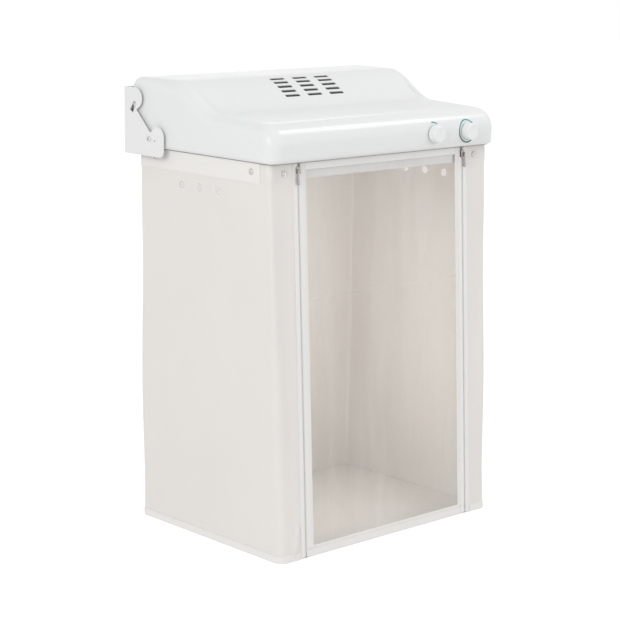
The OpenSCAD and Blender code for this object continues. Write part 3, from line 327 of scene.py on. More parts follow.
def lathe(profile, origin, axis, across, count=64):
    """A turned form: profile of (radius, distance along the axis), closed at the axis."""
    side = axis.cross(across)
    verts, rings = [], []
    for r, z in profile:
        if r < 1e-6:
            rings.append([len(verts)] * count)
            verts.append(origin + axis * z * MM)
            continue
        rings.append(list(range(len(verts), len(verts) + count)))
        for i in range(count):
            a = 2 * math.pi * i / count
            out = across * math.cos(a) + side * math.sin(a)
            verts.append(origin + (axis * z + out * r) * MM)
    faces = []
    for low, high in zip(rings, rings[1:]):
        for i in range(count):
            j = (i + 1) % count
            face = list(dict.fromkeys((low[i], low[j], high[j], high[i])))
            if len(face) > 2:
                faces.append(tuple(face))
    return verts, faces


def rounded_bar(centre, along, across, out, length, width, height):
    """A low bar with chamfered top edges, such as a stitch or a tooth."""
    verts, faces = [], []
    for z, shrink in ((0.0, 1.0), (height * 0.55, 1.0), (height, 0.6)):
        for sx, sy in ((-1, -1), (1, -1), (1, 1), (-1, 1)):
            verts.append(centre + (along * (sx * (length / 2 - (1 - shrink) * width / 2))
                         + across * (sy * width / 2 * shrink) + out * z) * MM)
    for k in (0, 4):
        for i in range(4):
            j = (i + 1) % 4
            faces.append((k + i, k + j, k + j + 4, k + i + 4))
    faces += [(3, 2, 1, 0), (8, 9, 10, 11)]
    return verts, faces


def stitches(points, outs):
    """Stitches along a line of points; outs holds the direction out of the cloth at each."""
    parts, left = [], 0.0
    for a, b, out in zip(points, points[1:], outs):
        run, along = (b - a).length / MM, (b - a).normalized()
        across = out.cross(along)
        at = left
        while at < run:
            parts.append(rounded_bar(a + along * at * MM, along, across, out, STITCH_L,
                                     STITCH_W, STITCH_T))
            at += STITCH_PITCH
        left = at - run
    return merged(*parts)


# ---- materials
def settings():
    return bpy.context.scene.cabinet


def add(tree, kind, inputs=(), **values):
    """A node with its settings; inputs is a dict of socket name to value or to a socket."""
    node = tree.nodes.new(kind)
    for key, value in values.items():
        setattr(node, key, value)
    for key, value in dict(inputs).items():
        if isinstance(value, bpy.types.NodeSocket):
            tree.links.new(value, node.inputs[key])
        else:
            node.inputs[key].default_value = value
    return node


def math_node(tree, operation, a, b=0.5, clamp=False):
    node = add(tree, "ShaderNodeMath", {0: a, 1: b}, operation=operation, use_clamp=clamp)
    return node.outputs[0]


def ramp(tree, value, low, high, at_low, at_high):
    """A value that goes from at_low to at_high as another goes from low to high."""
    return add(tree, "ShaderNodeMapRange", {
        "Value": value, "From Min": low, "From Max": high, "To Min": at_low,
        "To Max": at_high}).outputs["Result"]


def colour_mix(tree, share, low, high):
    """The colour low where share is 0, and high where it is 1."""
    return add(tree, "ShaderNodeMix", {"Factor": share, 6: low, 7: high},
               data_type="RGBA").outputs[2]


def object_place(tree):
    return add(tree, "ShaderNodeTexCoord").outputs["Object"]


def object_axis(tree, axis):
    return add(tree, "ShaderNodeSeparateXYZ", {"Vector": object_place(tree)}).outputs[axis]


NUMBER, COLOUR = "NodeSocketFloat", "NodeSocketColor"


def group(name, inputs, outputs):
    """An empty node group with its sockets, and its input and output nodes."""
    tree = bpy.data.node_groups.new(name, "ShaderNodeTree")
    for label, kind, default in inputs:
        socket = tree.interface.new_socket(label, in_out="INPUT", socket_type=kind)
        socket.default_value = default
    for label, kind in outputs:
        tree.interface.new_socket(label, in_out="OUTPUT", socket_type=kind)
    return tree, tree.nodes.new("NodeGroupInput"), tree.nodes.new("NodeGroupOutput")


def mottle_group():
    """Faint variation of colour and roughness, as on any used surface."""
    tree, source, sink = group(
        "Faint mottle",
        [("Colour", COLOUR, (0.8, 0.8, 0.8, 1)), ("Scale", NUMBER, 6.0), ("Amount", NUMBER, 0.05),
         ("Roughness", NUMBER, 0.4)],
        [("Colour", COLOUR), ("Roughness", NUMBER)])
    broad = add(tree, "ShaderNodeTexNoise", {
        "Vector": object_place(tree), "Scale": source.outputs["Scale"], "Detail": 3.0,
        "Roughness": 0.55})
    level = math_node(tree, "SUBTRACT", broad.outputs["Fac"], 0.5)
    shade = math_node(tree, "MULTIPLY", level, source.outputs["Amount"])
    tint = add(tree, "ShaderNodeVectorMath", {
        0: source.outputs["Colour"], "Scale": math_node(tree, "ADD", shade, 1.0)},
        operation="SCALE")
    tree.links.new(tint.outputs["Vector"], sink.inputs["Colour"])
    rough = math_node(tree, "ADD", math_node(tree, "MULTIPLY", level, 0.18),
                      source.outputs["Roughness"], clamp=True)
    tree.links.new(rough, sink.inputs["Roughness"])
    return tree


def weave_group():
    """Threads in all three directions, of which two show on any flat of the fabric."""
    tree, source, sink = group(
        "Plain weave",
        [("Threads per metre", NUMBER, 900.0), ("Slub", NUMBER, 0.35)],
        [("Height", NUMBER)])
    place = object_place(tree)
    wander = add(tree, "ShaderNodeTexNoise", {"Vector": place, "Scale": 420.0, "Detail": 2.0})
    slub = math_node(tree, "MULTIPLY", wander.outputs["Fac"], source.outputs["Slub"])
    turn = math_node(tree, "MULTIPLY", source.outputs["Threads per metre"], 2 * math.pi)
    parts = add(tree, "ShaderNodeSeparateXYZ", {"Vector": place})
    total = 3.0
    for axis in "XYZ":
        angle = math_node(tree, "MULTIPLY", parts.outputs[axis], turn)
        wave = math_node(tree, "SINE", math_node(tree, "ADD", angle, slub), 0.0)
        total = math_node(tree, "ADD", wave, total)
    tree.links.new(math_node(tree, "MULTIPLY", total, 1 / 6), sink.inputs["Height"])
    return tree


def grain_group():
    """Fine orange peel of a moulded or painted surface."""
    tree, source, sink = group("Fine grain", [("Scale", NUMBER, 500.0)],
                               [("Height", NUMBER)])
    fine = add(tree, "ShaderNodeTexNoise", {
        "Vector": object_place(tree), "Scale": source.outputs["Scale"], "Detail": 2.0})
    tree.links.new(fine.outputs["Fac"], sink.inputs["Height"])
    return tree


def use_group(tree, name, maker, inputs):
    """A shader node group, built the first time that a material asks for it."""
    return add(tree, "ShaderNodeGroup", inputs,
               node_tree=bpy.data.node_groups.get(name) or maker())


def coat(name, colour, rough, grain=None, weave=None, bump=0.1, mottle=0.04, mottle_scale=6.0,
         **sockets):
    """A procedural finish: mottled colour and roughness, with grain or weave in its bump."""
    material = bpy.data.materials.new(name)
    material.use_nodes = True
    tree = material.node_tree
    shader = tree.nodes["Principled BSDF"]
    spots = use_group(tree, "Faint mottle", mottle_group, {
        "Colour": (*colour, 1), "Scale": mottle_scale, "Amount": mottle, "Roughness": rough})
    tree.links.new(spots.outputs["Colour"], shader.inputs["Base Color"])
    tree.links.new(spots.outputs["Roughness"], shader.inputs["Roughness"])
    relief = (use_group(tree, "Plain weave", weave_group, {"Threads per metre": weave})
              if weave else use_group(tree, "Fine grain", grain_group, {"Scale": grain}))
    lift = add(tree, "ShaderNodeBump", {"Height": relief.outputs["Height"],
                                        "Strength": bump, "Distance": 0.0004})
    tree.links.new(lift.outputs["Normal"], shader.inputs["Normal"])
    for key, value in sockets.items():
        shader.inputs[key.replace("_", " ")].default_value = value
    return material


def shell_white(name):
    """Matt moulded plastic, polished by hands along the head's front edge."""
    material = coat(name, settings().shell_colour, 0.46, grain=380.0, bump=0.02, mottle=0.012,
                    Specular_IOR_Level=0.09, Coat_Roughness=0.16)
    tree = material.node_tree
    front = spot(0, 0, 0).y
    polish = ramp(tree, object_axis(tree, "Y"), front + POLISH_FROM, front + POLISH_TO, POLISH,
                  0.0)
    tree.links.new(polish, tree.nodes["Principled BSDF"].inputs["Coat Weight"])
    return material


def knob_white(name):
    return coat(name, settings().knob_colour, 0.26, grain=700.0, bump=0.04, mottle=0.01,
                Coat_Weight=0.3)


def bag_fabric(name):
    return coat(name, settings().fabric_colour, 0.72, weave=850.0, bump=0.05, mottle=0.10,
                mottle_scale=2.4, Sheen_Weight=0.15)


def trim_fabric(name):
    return coat(name, settings().trim_colour, 0.68, weave=1100.0, bump=0.07, mottle=0.03,
                mottle_scale=9.0, Sheen_Weight=0.1)


def dial_print(name):
    """Teal print that darkens to green towards the bottom."""
    material = coat(name, PRINT_TOP[:3], 0.4, grain=900.0, bump=0.05, mottle=0.1,
                    mottle_scale=80.0)
    tree = material.node_tree
    middle = (KNOB_H - ORIGIN_H) * MM
    share = ramp(tree, object_axis(tree, "Z"), middle - PRINT_REACH, middle + PRINT_REACH, 0.0,
                 1.0)
    spots = tree.nodes["Principled BSDF"].inputs["Base Color"].links[0].from_node
    tree.links.new(colour_mix(tree, share, PRINT_FOOT, PRINT_TOP), spots.inputs["Colour"])
    return material


def clear_film(name):
    """Clear film: its own faint milky tint, with painted reflections as vertical streaks and a
    painted glint along its upper packing crease.
    """
    material = coat(name, (0.93, 0.93, 0.925), 0.12, grain=30.0, bump=0.2, mottle=0.02,
                    mottle_scale=5.0, IOR=1.45)
    tree = material.node_tree
    # painted reflections: vertical streaks over the film's own faint milky tint
    drawn = add(tree, "ShaderNodeMapping", {"Vector": object_place(tree), "Scale": REFLECTION_STREAKS})
    reflection_streak = add(tree, "ShaderNodeTexNoise", {"Vector": drawn.outputs["Vector"], "Scale": 1.0,
                                              "Detail": 4.0, "Roughness": 0.62})
    tint_and_reflection = ramp(tree, reflection_streak.outputs["Fac"], *TINT_AND_REFLECTION)
    # a painted glint along the upper crease
    away = math_node(tree, "ABSOLUTE", math_node(
        tree, "SUBTRACT", object_axis(tree, "Z"), CREASE_Z), 0.0)
    line = math_node(tree, "MULTIPLY", ramp(tree, away, *CREASE_RAMP), tint_and_reflection)
    glint = math_node(tree, "MULTIPLY", line, CREASE_GLINT)
    total = math_node(tree, "ADD", tint_and_reflection, glint, clamp=True)
    tree.links.new(total, tree.nodes["Principled BSDF"].inputs["Alpha"])
    return material


MADE_FINISHES = {"moulded white": shell_white, "knob white": knob_white,
                 "dial print": dial_print, "bag fabric": bag_fabric,
                 "trim fabric": trim_fabric, "clear film": clear_film}


def finish(name):
    """The material of that name, made the first time that a piece asks for it."""
    found = bpy.data.materials.get(name)
    if found:
        return found
    if name in MADE_FINISHES:
        return MADE_FINISHES[name](name)
    colour, rough, values = FINISHES[name]
    return coat(name, colour, rough, **values)


def dress(nodes, name):
    """Gives construction solids their finish."""
    material = finish(name)
    for node in nodes:
        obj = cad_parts[node]
        if not obj.material_slots:
            obj.data.materials.append(material)
        for slot in obj.material_slots:
            slot.material = material


def soften(nodes, width):
    """Rounds construction solids' hard edges for the light, without changing their meshes."""
    for node in nodes:
        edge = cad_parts[node].modifiers.new("soft edges", "BEVEL")
        edge.width, edge.segments = width * MM, 2
        edge.limit_method, edge.angle_limit = "ANGLE", math.radians(50)
        edge.use_clamp_overlap = True


# ---- the moulded head
def top_h(u):
    return (SHELF_H + min(u - RISE_START, 0) * SHELF_FALL
            + (HEAD_H - SHELF_H) * ease((u - RISE_START) / (RISE_END - RISE_START)))


def top_slope(u):
    return top_h(u + 0.5) - top_h(u - 0.5)


def head_rows():
    """The head's line from the rear rim over the top to the front rim: point, inset
    direction and edge radius of each."""
    crown_u, crown_h, nose_h = HEAD_D - CROWN_R, HEAD_H - CROWN_R, top_h(NOSE_R) - NOSE_R
    rows = [(HEAD_D - RIM_R + RIM_R * c, RIM_R + RIM_R * s, 1, 0, REAR_R)
            for c, s, _ in turned(-90, 0, 7)]
    rows += [(HEAD_D, h, 1, 0, REAR_R) for h in spread(RIM_R, crown_h, 7)[1:-1]]
    rows += [(crown_u + CROWN_R * c, crown_h + CROWN_R * s, c, s,
              REAR_R + (CROWN_EDGE_R - REAR_R) * t) for c, s, t in turned(0, 90, 13)]
    rows += [(crown_u + (RISE_END - crown_u) * t, HEAD_H, 0, 1,
              CROWN_EDGE_R + (EDGE_R - CROWN_EDGE_R) * t) for t in spread(0, 1, 7)[1:-1]]
    for u in spread(RISE_END, RISE_START, 49):
        tilt = math.atan(top_slope(u))
        rows.append((u, top_h(u), -math.sin(tilt), math.cos(tilt), EDGE_R))
    rows += [(u, top_h(u), 0, 1, EDGE_R) for u in spread(RISE_START, NOSE_R, 9)[1:-1]]
    rows += [(NOSE_R + NOSE_R * c, nose_h + NOSE_R * s, c, s, EDGE_R)
             for c, s, _ in turned(90, 180, 21)]
    rows += [(0.0, h, -1, 0, EDGE_R) for h in spread(nose_h, RIM_R, 5)[1:-1]]
    rows += [(RIM_R + RIM_R * c, RIM_R + RIM_R * s, -1, 0, EDGE_R)
             for c, s, _ in turned(180, 270, 7)]
    return rows


def round_in(e, r):
    """How far an edge of radius r has drawn in at the distance e from the side."""
    return 0.0 if e >= r else r - math.sqrt(r * r - (r - e) ** 2)


def dip(u, e):
    """How far the rise dips beside its side borders."""
    t = min(max((u - DIP_FROM) / (DIP_TO - DIP_FROM), 0), 1)
    across = ease((e - EDGE_R + CREASE_W) / CREASE_W) * (1 - ease((e - EDGE_R) / DIP_W))
    return settings().dip_depth / MM * math.sin(math.pi * t) ** 2 * across


def head_mesh():
    """The head's skin: its line at every station across, closed at the sides and the rims."""
    rows = head_rows()
    n = len(rows)
    stations = [(-1, e) for e in SIDE_STATIONS] + [(1, e) for e in reversed(SIDE_STATIONS)]
    verts = []
    for sx, e in stations:
        low = round_in(e, RIM_R)
        for u, h, iu, ih, r in rows:
            inset = round_in(e, r)
            uu, hh = u - inset * iu, h - inset * ih
            verts.append(spot(sx * (HALF_W - e), uu, max(hh - dip(uu, e), low)))
    last, opening = len(stations) - 1, len(RIM_STATIONS) - 1
    faces = [(a, a + 1, a + n + 1, a + n) for k in range(last)
             for a in range(k * n, (k + 1) * n - 1)]
    for k in list(range(opening)) + list(range(last - opening, last)):
        a, b = k * n, (k + 1) * n
        faces.append((a, b, b + n - 1, a + n - 1))
    faces.append(tuple(range(n)))
    faces.append(tuple(last * n + i for i in reversed(range(n))))
    return verts, faces


def slot_form(i, j):
    """The form cut out for one grille slot: its walls lean back, as in a louvre, and keep
    the opening's own width on the slope."""
    x = (i - (SLOT_COLS - 1) / 2) * SLOT_X
    u = SLOT_AT + (j - (SLOT_ROWS - 1) / 2) * SLOT_Y
    wide, middle = 1 + SLOT_LEAN * top_slope(u), top_h(u)
    flat_x, flat_u = SLOT_L / 2 - SLOT_R, SLOT_W / 2 - SLOT_R
    outline = [(x + sx * flat_x + SLOT_R * c, u + (su * flat_u + SLOT_R * s) * wide)
               for sx, su, start in ((1, 1, 0), (-1, 1, 90), (-1, -1, 180), (1, -1, 270))
               for c, s, _ in turned(start, start + 90, 5)]
    n = len(outline)
    verts = [spot(a, b - SLOT_LEAN * lift, middle + lift) for lift in (-SLOT_REACH, SLOT_REACH)
             for a, b in outline]
    faces = [tuple(reversed(range(n))), tuple(range(n, 2 * n))]
    faces += [(k, (k + 1) % n, (k + 1) % n + n, k + n) for k in range(n)]
    return verts, faces


class CABINET_OT_head(Operator):
    """Build the moulded head with its S-shaped rise and slotted grille"""

    bl_idname = "cabinet.head"
    bl_label = "Moulded head"

    def execute(self, context):
        head = new_piece("head_moulding", head_mesh(), "moulded white", "cabinet")
        wall = head.modifiers.new("wall", "SOLIDIFY")
        wall.thickness, wall.offset = WALL_T * MM, -1.0
        bake_modifiers(head)
        cut(head, [slot_form(i, j) for i in range(SLOT_COLS) for j in range(SLOT_ROWS)])
        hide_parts("top_housing")
        self.slot_shade_sheet()
        self.shade_strip()
        self.bosses()
        return {"FINISHED"}

    def slot_shade_sheet(self):
        """A near-black sheet just under the slots: painted shade, so that the slots read dark
        inside.
        """
        margin = 4
        reach_x = SLOT_X + SLOT_L / 2 + margin
        reach_u = SLOT_Y * 2 + SLOT_W / 2 + margin

        def place(x, u, depth):
            tilt = math.atan(top_slope(u))
            down = WALL_T + SHADE_SHEET_GAP + depth
            return spot(x, u + down * math.sin(tilt), top_h(u) - down * math.cos(tilt))

        form = cloth(place, spread(-reach_x, reach_x, 12),
                     spread(SLOT_AT - reach_u, SLOT_AT + reach_u, 24), SHADE_SHEET_T)
        new_piece("slot_shade_sheet", form, "painted slot shade", "cabinet")

    def shade_strip(self):
        """A dark strip under the head's rim, round the top of the bag: painted shade for the gap
        between rim and bag.
        """
        reach = HALF_W - SHADE_STRIP_AT
        path = []
        for sx, rear, start in ((1, 1, 0), (-1, 1, 90), (-1, -1, 180), (1, -1, 270)):
            edge, r = ((HEAD_D - SHADE_STRIP_AT, SHADE_STRIP_REAR_R) if rear > 0
                       else (SHADE_STRIP_AT, SHADE_STRIP_R))
            path += [(sx * (reach - r) + r * c, edge - rear * r + r * s, c, s)
                     for c, s, _ in turned(start, start + 90, 13)]
        n, m = len(SHADE_STRIP_SECTION), len(path)
        verts = [spot(x + c * a * SHADE_STRIP_W, u + s * a * SHADE_STRIP_W, b * SHADE_STRIP_T)
                 for x, u, c, s in path for a, b in SHADE_STRIP_SECTION]
        faces = [(i * n + j, ((i + 1) % m) * n + j, ((i + 1) % m) * n + (j + 1) % n,
                  i * n + (j + 1) % n) for i in range(m) for j in range(n)]
        new_piece("rim_shade_strip", (verts, faces), "painted rim shade", "cabinet")

    def bosses(self):
        """The bosses inside the head that the pan's screws go into."""
        bore, r, foot = BOSS_BORE / 2, BOSS_D / 2, 2.5
        parts = []
        for sx in (-1, 1):
            for u in (BOSS_IN, HEAD_D - BOSS_IN):
                top = top_h(u) - WALL_T - foot
                parts.append(lathe([(bore, 0), (r - 0.4, 0), (r, 0.4), (r + 0.8, top),
                                    (bore, top), (bore, 0)],
                                   spot(sx * (HALF_W - BOSS_IN), u, foot), UP, RIGHT, 24))
        new_piece("head_bosses", merged(*parts), "moulded white", "cabinet")


# ---- controls
def knob_form(x):
    """A skirted knob with a dished face and a raised pointer."""
    r, front = KNOB_R, KNOB_R - KNOB_TAPER
    profile = [(SPINDLE_R, 0), (6, 0), (6, KNOB_SOCKET), (front - 2.2, KNOB_SOCKET),
               (r - 2, 0.4), (r - 0.5, 0), (r, 0.5)]
    profile += [(front - KNOB_LIP + KNOB_LIP * c, KNOB_L - KNOB_LIP + KNOB_LIP * s)
                for c, s, _ in turned(0, 90, 8)]
    profile += [(front - 6, KNOB_L - 0.05), (front - 10, KNOB_L - 0.35), (5, KNOB_L - 0.5),
                (0, KNOB_L - 0.5)]
    origin, end = spot(x, -KNOB_GAP, KNOB_H), KNOB_SOCKET + 0.5
    body = lathe(profile, origin, FORWARD, RIGHT, 96)
    socket = lathe([(SPINDLE_R, 0), (SPINDLE_R, end), (0, end)], origin, FORWARD, RIGHT, 96)
    pointer = rounded_bar(origin + (FORWARD * (KNOB_L - 0.6) + UP * 12) * MM, UP, RIGHT,
                          FORWARD, 9, 1.6, 0.7)
    return merged(body, socket, pointer)


class CABINET_OT_knobs(Operator):
    """Build the two control knobs and finish the printed dial marks"""

    bl_idname = "cabinet.knobs"
    bl_label = "Knobs and dials"

    def execute(self, context):
        for name, x, node, body in (("knob_timer", TIMER_X, "timer_knob", "timer_dial"),
                                    ("knob_heat", HEAT_X, "heat_knob", "heat_dial")):
            knob = new_piece(name, knob_form(x), "knob white", body,
                             sharp=30)
            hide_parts(node)
        dress(["timer_mark", "heat_ring"], "dial print")
        return {"FINISHED"}


# ---- the bag
def bag_plan(h):
    """Half width, front, rear, front and rear corner radius at height h."""
    s = -h / BAG_L
    return (BAG_HW - SIDE_DRAW * s, BAG_FRONT - LEAN * s, BAG_REAR + REAR_SPREAD * s,
            R_TOP + (R_FLOOR - R_TOP) * s, R_TOP + (R_REAR - R_TOP) * s)


def segment(q):
    """The segment of the plan that q lies in, and the share of the way along it."""
    seg = min(int(q), SEGMENTS - 1)
    return seg, q - seg


def bag_ring(q, h):
    """Point (x, u) and outward direction on the bag's plan; q counts its segments."""
    hw, front, rear, rf, rr = bag_plan(h)
    seg, t = segment(q)
    if seg > 4:
        (x, u), (nx, nu) = bag_ring(SEGMENTS - q, h)
        return (-x, u), (-nx, nu)
    if seg == 0:
        return (-(STRIP_IN + (hw - rf - STRIP_IN) * t), front), (0, -1)
    if seg == 2:
        return (-hw, front + rf + (rear - rr - front - rf) * t), (-1, 0)
    if seg == 4:
        return (-(hw - rr) + 2 * (hw - rr) * t, rear), (0, 1)
    start, r, u = (270, rf, front + rf) if seg == 1 else (180, rr, rear - rr)
    c, s = math.cos(math.radians(start - 90 * t)), math.sin(math.radians(start - 90 * t))
    return (-(hw - r) + r * c, u + r * s), (c, s)


def sway(s, reach, turns, start):
    return reach * math.sin(2 * math.pi * (turns * s + start))


def puff(t, h, right):
    """The loose bulge of the fabric at its front corners, just under the head."""
    reach = PUFF_RIGHT if right else PUFF_LEFT
    return reach * rise(t, *PUFF_AT) * rise(-h, *PUFF_FROM) * (1 - rise(-h, *PUFF_TO))


def strip_drift(t, h, hang, right):
    """The drift of a front strip, t from its zip to its corner."""
    s = -h / BAG_L
    free = rise(t, *STRIP_FREE) * ease((1 - t) / STRIP_HELD)
    off_ridge = t - RIDGE_AT - RIDGE_SLANT * (s - RIDGE_LEVEL)
    ridge = math.exp(-(off_ridge / RIDGE_W) ** 2) * rise(s, *RIDGE_FROM)
    low = (1 - rise(s, *RIDGE_END)) * (RIDGE_RIGHT if right else RIDGE_LEFT)
    slack = SLACK * hang * (1 - rise(s, *SLACK_TO))
    return (puff(t, h, right) + hang * ease(t) * sway(s, *FRONT_SWAY)
            + free * (RIDGE * ridge * low - slack))


def drift(q, h):
    """How far the hanging fabric stands out from its plan, in millimetres."""
    s = -h / BAG_L
    seg, t = segment(q)
    right = seg > 4
    hang = (rise(s, *LOOSE_FROM) * (1 - LOOSE_LOSS * rise(s, *LOOSE_TO))
            * (1 - rise(s, HEM_FROM, HEM_SPAN)))
    front, rear = sway(s, *FRONT_SWAY), REAR_STAND + sway(s, *REAR_SWAY)
    if seg in (0, 8):
        return strip_drift(1 - t if right else t, h, hang, right)
    if seg in (1, 7):
        return puff(1, h, right) + hang * front
    if seg in (3, 5):
        return hang * rear
    start, stop = {2: (front, rear), 4: (rear, rear), 6: (rear, front)}[seg]
    edge = start * (1 - ease(t * 6)) + stop * (1 - ease((1 - t) * 6))
    billow = math.sin(math.pi * t) * (sway(s * 1.3 + 0.4 * t, BILLOW_SWAY, 1, 0)
                                      - BILLOW_IN * math.sin(math.pi * min(s * 1.1, 1)))
    ripple = sway(3.2 * t + 1.4 * s + seg, RIPPLE, 1, 0) * sway(2.3 * s + 0.7 * t, 1, 1, 0)
    fold = sum(depth * math.exp(-((t - at - run * (s - 0.5)) / width) ** 2)
               for at_seg, at, width, depth, run in FOLDS if at_seg == seg)
    loose = 0 if seg == 4 else puff(1, h, right) * (1 - ease((1 - t if right else t) * 26))
    return loose + hang * (edge + (billow + ripple + fold) * math.sin(math.pi * t) ** 0.5)


def bag_spot(q, h, depth):
    (x, u), (nx, nu) = bag_ring(q, h)
    move = drift(q, h) - depth
    return spot(x + nx * move, u + nu * move, h)


def over_bag_spot(q, h, depth):
    """A point of a layer that lies on the bag's fabric."""
    return bag_spot(q, h, depth - LAYER_GAP - FABRIC_T)


def ring_stations():
    return [seg + t for seg, count in enumerate(COLUMNS)
            for t in spread(0, 1, count + 1)[:-1]] + [RING_END]


def ring_length(h, q0=0.0, q1=RING_END):
    points = [Vector(bag_ring(q, h)[0]) for q in spread(q0, q1, 600)]
    return sum((b - a).length for a, b in zip(points, points[1:])) * MM


def vent_cutters():
    r, back, reach = VENT_D / 2, 20, 30
    return [lathe([(0, 0), (r, 0), (r, reach), (0, reach)],
                  spot(sx * (BAG_HW - back), at + i * VENT_PITCH, -drop),
                  Vector((sx, 0, 0)), UP, 48) for sx, at, drop in VENTS for i in (-1, 0, 1)]


def seam_round(name, place, stations, level):
    """A row of stitches round the bag on a layer of it."""
    outs = [Vector((*bag_ring(q, level)[1], 0)) for q in stations]
    form = stitches([place(q, level, 0) for q in stations], outs)
    return new_piece(name, form, "sewing thread", "cabinet")


class CABINET_OT_bag(Operator):
    """Build the hanging fabric bag: its wrap, vents, floor, sill, hem and side bands"""

    bl_idname = "cabinet.bag"
    bl_label = "Fabric bag"

    def execute(self, context):
        low = -BAG_L + FABRIC_T
        levels = [0, -12, -24, -36] + spread(-48, low, 100)
        wrap = new_piece("bag_wrap", cloth(bag_spot, ring_stations(), levels, FABRIC_T),
                         "bag fabric", "cabinet", sharp=50)
        cut(wrap, vent_cutters())
        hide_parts("bag_left", "bag_right", "bag_back", "bag_front_left",
                    "bag_front_right")
        top, foot, tall = ring_length(0), ring_length(low), -low * MM * 1.002
        self.gauze()
        self.floor()
        self.sill()
        self.hem()
        self.bands()
        return {"FINISHED"}

    def gauze(self):
        """The fine mesh that fills the vent holes, as three discs a side."""
        r, half = VENT_D / 2, GAUZE_T / 2
        for name, (sx, at, drop) in zip(("vent_mesh_left", "vent_mesh_right"), VENTS):
            parts = []
            for i in (-1, 0, 1):
                _hw, front, rear, rf, rr = bag_plan(-drop)
                q = 2 + (at + i * VENT_PITCH - front - rf) / (rear - rr - front - rf)
                centre = bag_spot(q if sx < 0 else SEGMENTS - q, -drop, FABRIC_T * GAUZE_DEPTH)
                parts.append(lathe([(0, -half), (r / 2, -half), (r, -half), (r, half),
                                    (r / 2, half), (0, half)],
                                   centre, Vector((sx, 0, 0)), UP, 36))
            mesh = new_piece(name, merged(*parts), "vent mesh", "cabinet",
                             sharp=60)

    def floor(self):
        """The bag's floor, sagging a little in its middle."""
        h0 = -BAG_L
        hw, front, rear = bag_plan(h0)[:3]
        ring = [bag_ring(q, h0)[0] for q in ring_stations()]
        ring += [(x, front) for x in spread(STRIP_IN, -STRIP_IN, 40)[1:-1]]
        middle, rings, n = (front + rear) / 2, spread(0, 1, 15), len(ring)

        def place(i, share, depth):
            x, u = ring[i]
            sag = FLOOR_SAG * (1 - share * share) ** 2 * (
                1 + FLOOR_UNEVEN * math.sin(x / FLOOR_WAVE) * share)
            keep = max(share, 0.002)
            return spot(x * keep, middle + (u - middle) * keep, h0 - sag + depth)

        verts = [place(i, share, d) for d in (0, FABRIC_T - 0.1) for share in rings
                 for i in range(n)]
        faces, size = [], n * len(rings)
        for k in range(len(rings) - 1):
            for i in range(n):
                a, b = k * n + i, k * n + (i + 1) % n
                faces += [(a, b, b + n, a + n), (a + size, a + n + size, b + n + size, b + size)]
        base = size - n
        faces += [(base + i, base + (i + 1) % n, base + (i + 1) % n + size, base + i + size)
                  for i in range(n)]
        faces += [tuple(range(n)), tuple(size + i for i in reversed(range(n)))]
        floor = new_piece("bag_base", (verts, faces), "bag fabric", "cabinet",
                          sharp=50)
        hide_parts("bag_floor")

    def sill(self):
        """The fixed strip under the window's fold."""
        def place(x, down, depth):
            reach, length = SILL_WAVE
            return front_spot(x, -depth + reach * math.sin(x / length), down)

        form = cloth(place, spread(-BORDER_OUT, BORDER_OUT, 90),
                     spread(FOLD_AT + FOLD_GAP, FABRIC_END, 7), FABRIC_T)
        sill = new_piece("front_sill", form, "trim fabric", "cabinet",
                         sharp=50)
        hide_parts("bag_sill")

    def hem(self):
        """The doubled hem round the floor, with its row of stitches."""
        reach = ZIP_X + (CHAIN_GAP + CHAIN_S) / 2 + TAPE_W + HEM_CLEAR
        hw, _front, _rear, rf, _rr = bag_plan(-BAG_L)
        q0 = (reach - STRIP_IN) / (hw - rf - STRIP_IN)
        q1, lowest = SEGMENTS - q0, BAG_L + HEM_DROP
        stations = [q0] + [q for q in ring_stations() if q0 < q < q1] + [q1]

        def place(q, h, depth):
            swell = HEM_SWELL * math.sin(math.pi * (h + lowest) / (HEM_H + HEM_DROP))
            return over_bag_spot(q, h, depth - swell)

        form = cloth(place, stations, spread(-BAG_L + HEM_H, -lowest, 6), FABRIC_T)
        hem = new_piece("bottom_hem", form, "trim fabric", "cabinet",
                        sharp=50)
        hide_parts("bag_hem")
        seam = seam_round("hem_stitches", place, stations, -BAG_L + HEM_H - SEAM_IN)
        round(ring_length(-BAG_L, q0, q1) + 10 * SEAM, 3)

    def bands(self):
        """The doubled bands at the top of both sides, which the studs go through."""
        def place(q, h, depth):
            return over_bag_spot(q, h, depth - abs(SIDE_BAND_WAVE * math.sin(q * 37 + h / 9)))

        start, stop = 2 + SIDE_BAND_FROM / (BAG_REAR - BAG_FRONT - 2 * R_TOP), 3.5
        for name, flip in (("side_band_left", False), ("side_band_right", True)):
            stations = [q for q in ring_stations() if start < q < stop]
            if flip:
                stations = [SEGMENTS - q for q in stations]
            band = new_piece(name, cloth(place, stations, spread(-0.6, -BAND_H, 8), FABRIC_T),
                             "trim fabric", "cabinet", sharp=50)
            seam = seam_round(name + "_stitches", place, stations, -BAND_H + SEAM_IN)
            run = abs(ring_length(0, min(stations), max(stations)))
            if not flip:
                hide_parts("side_bands")


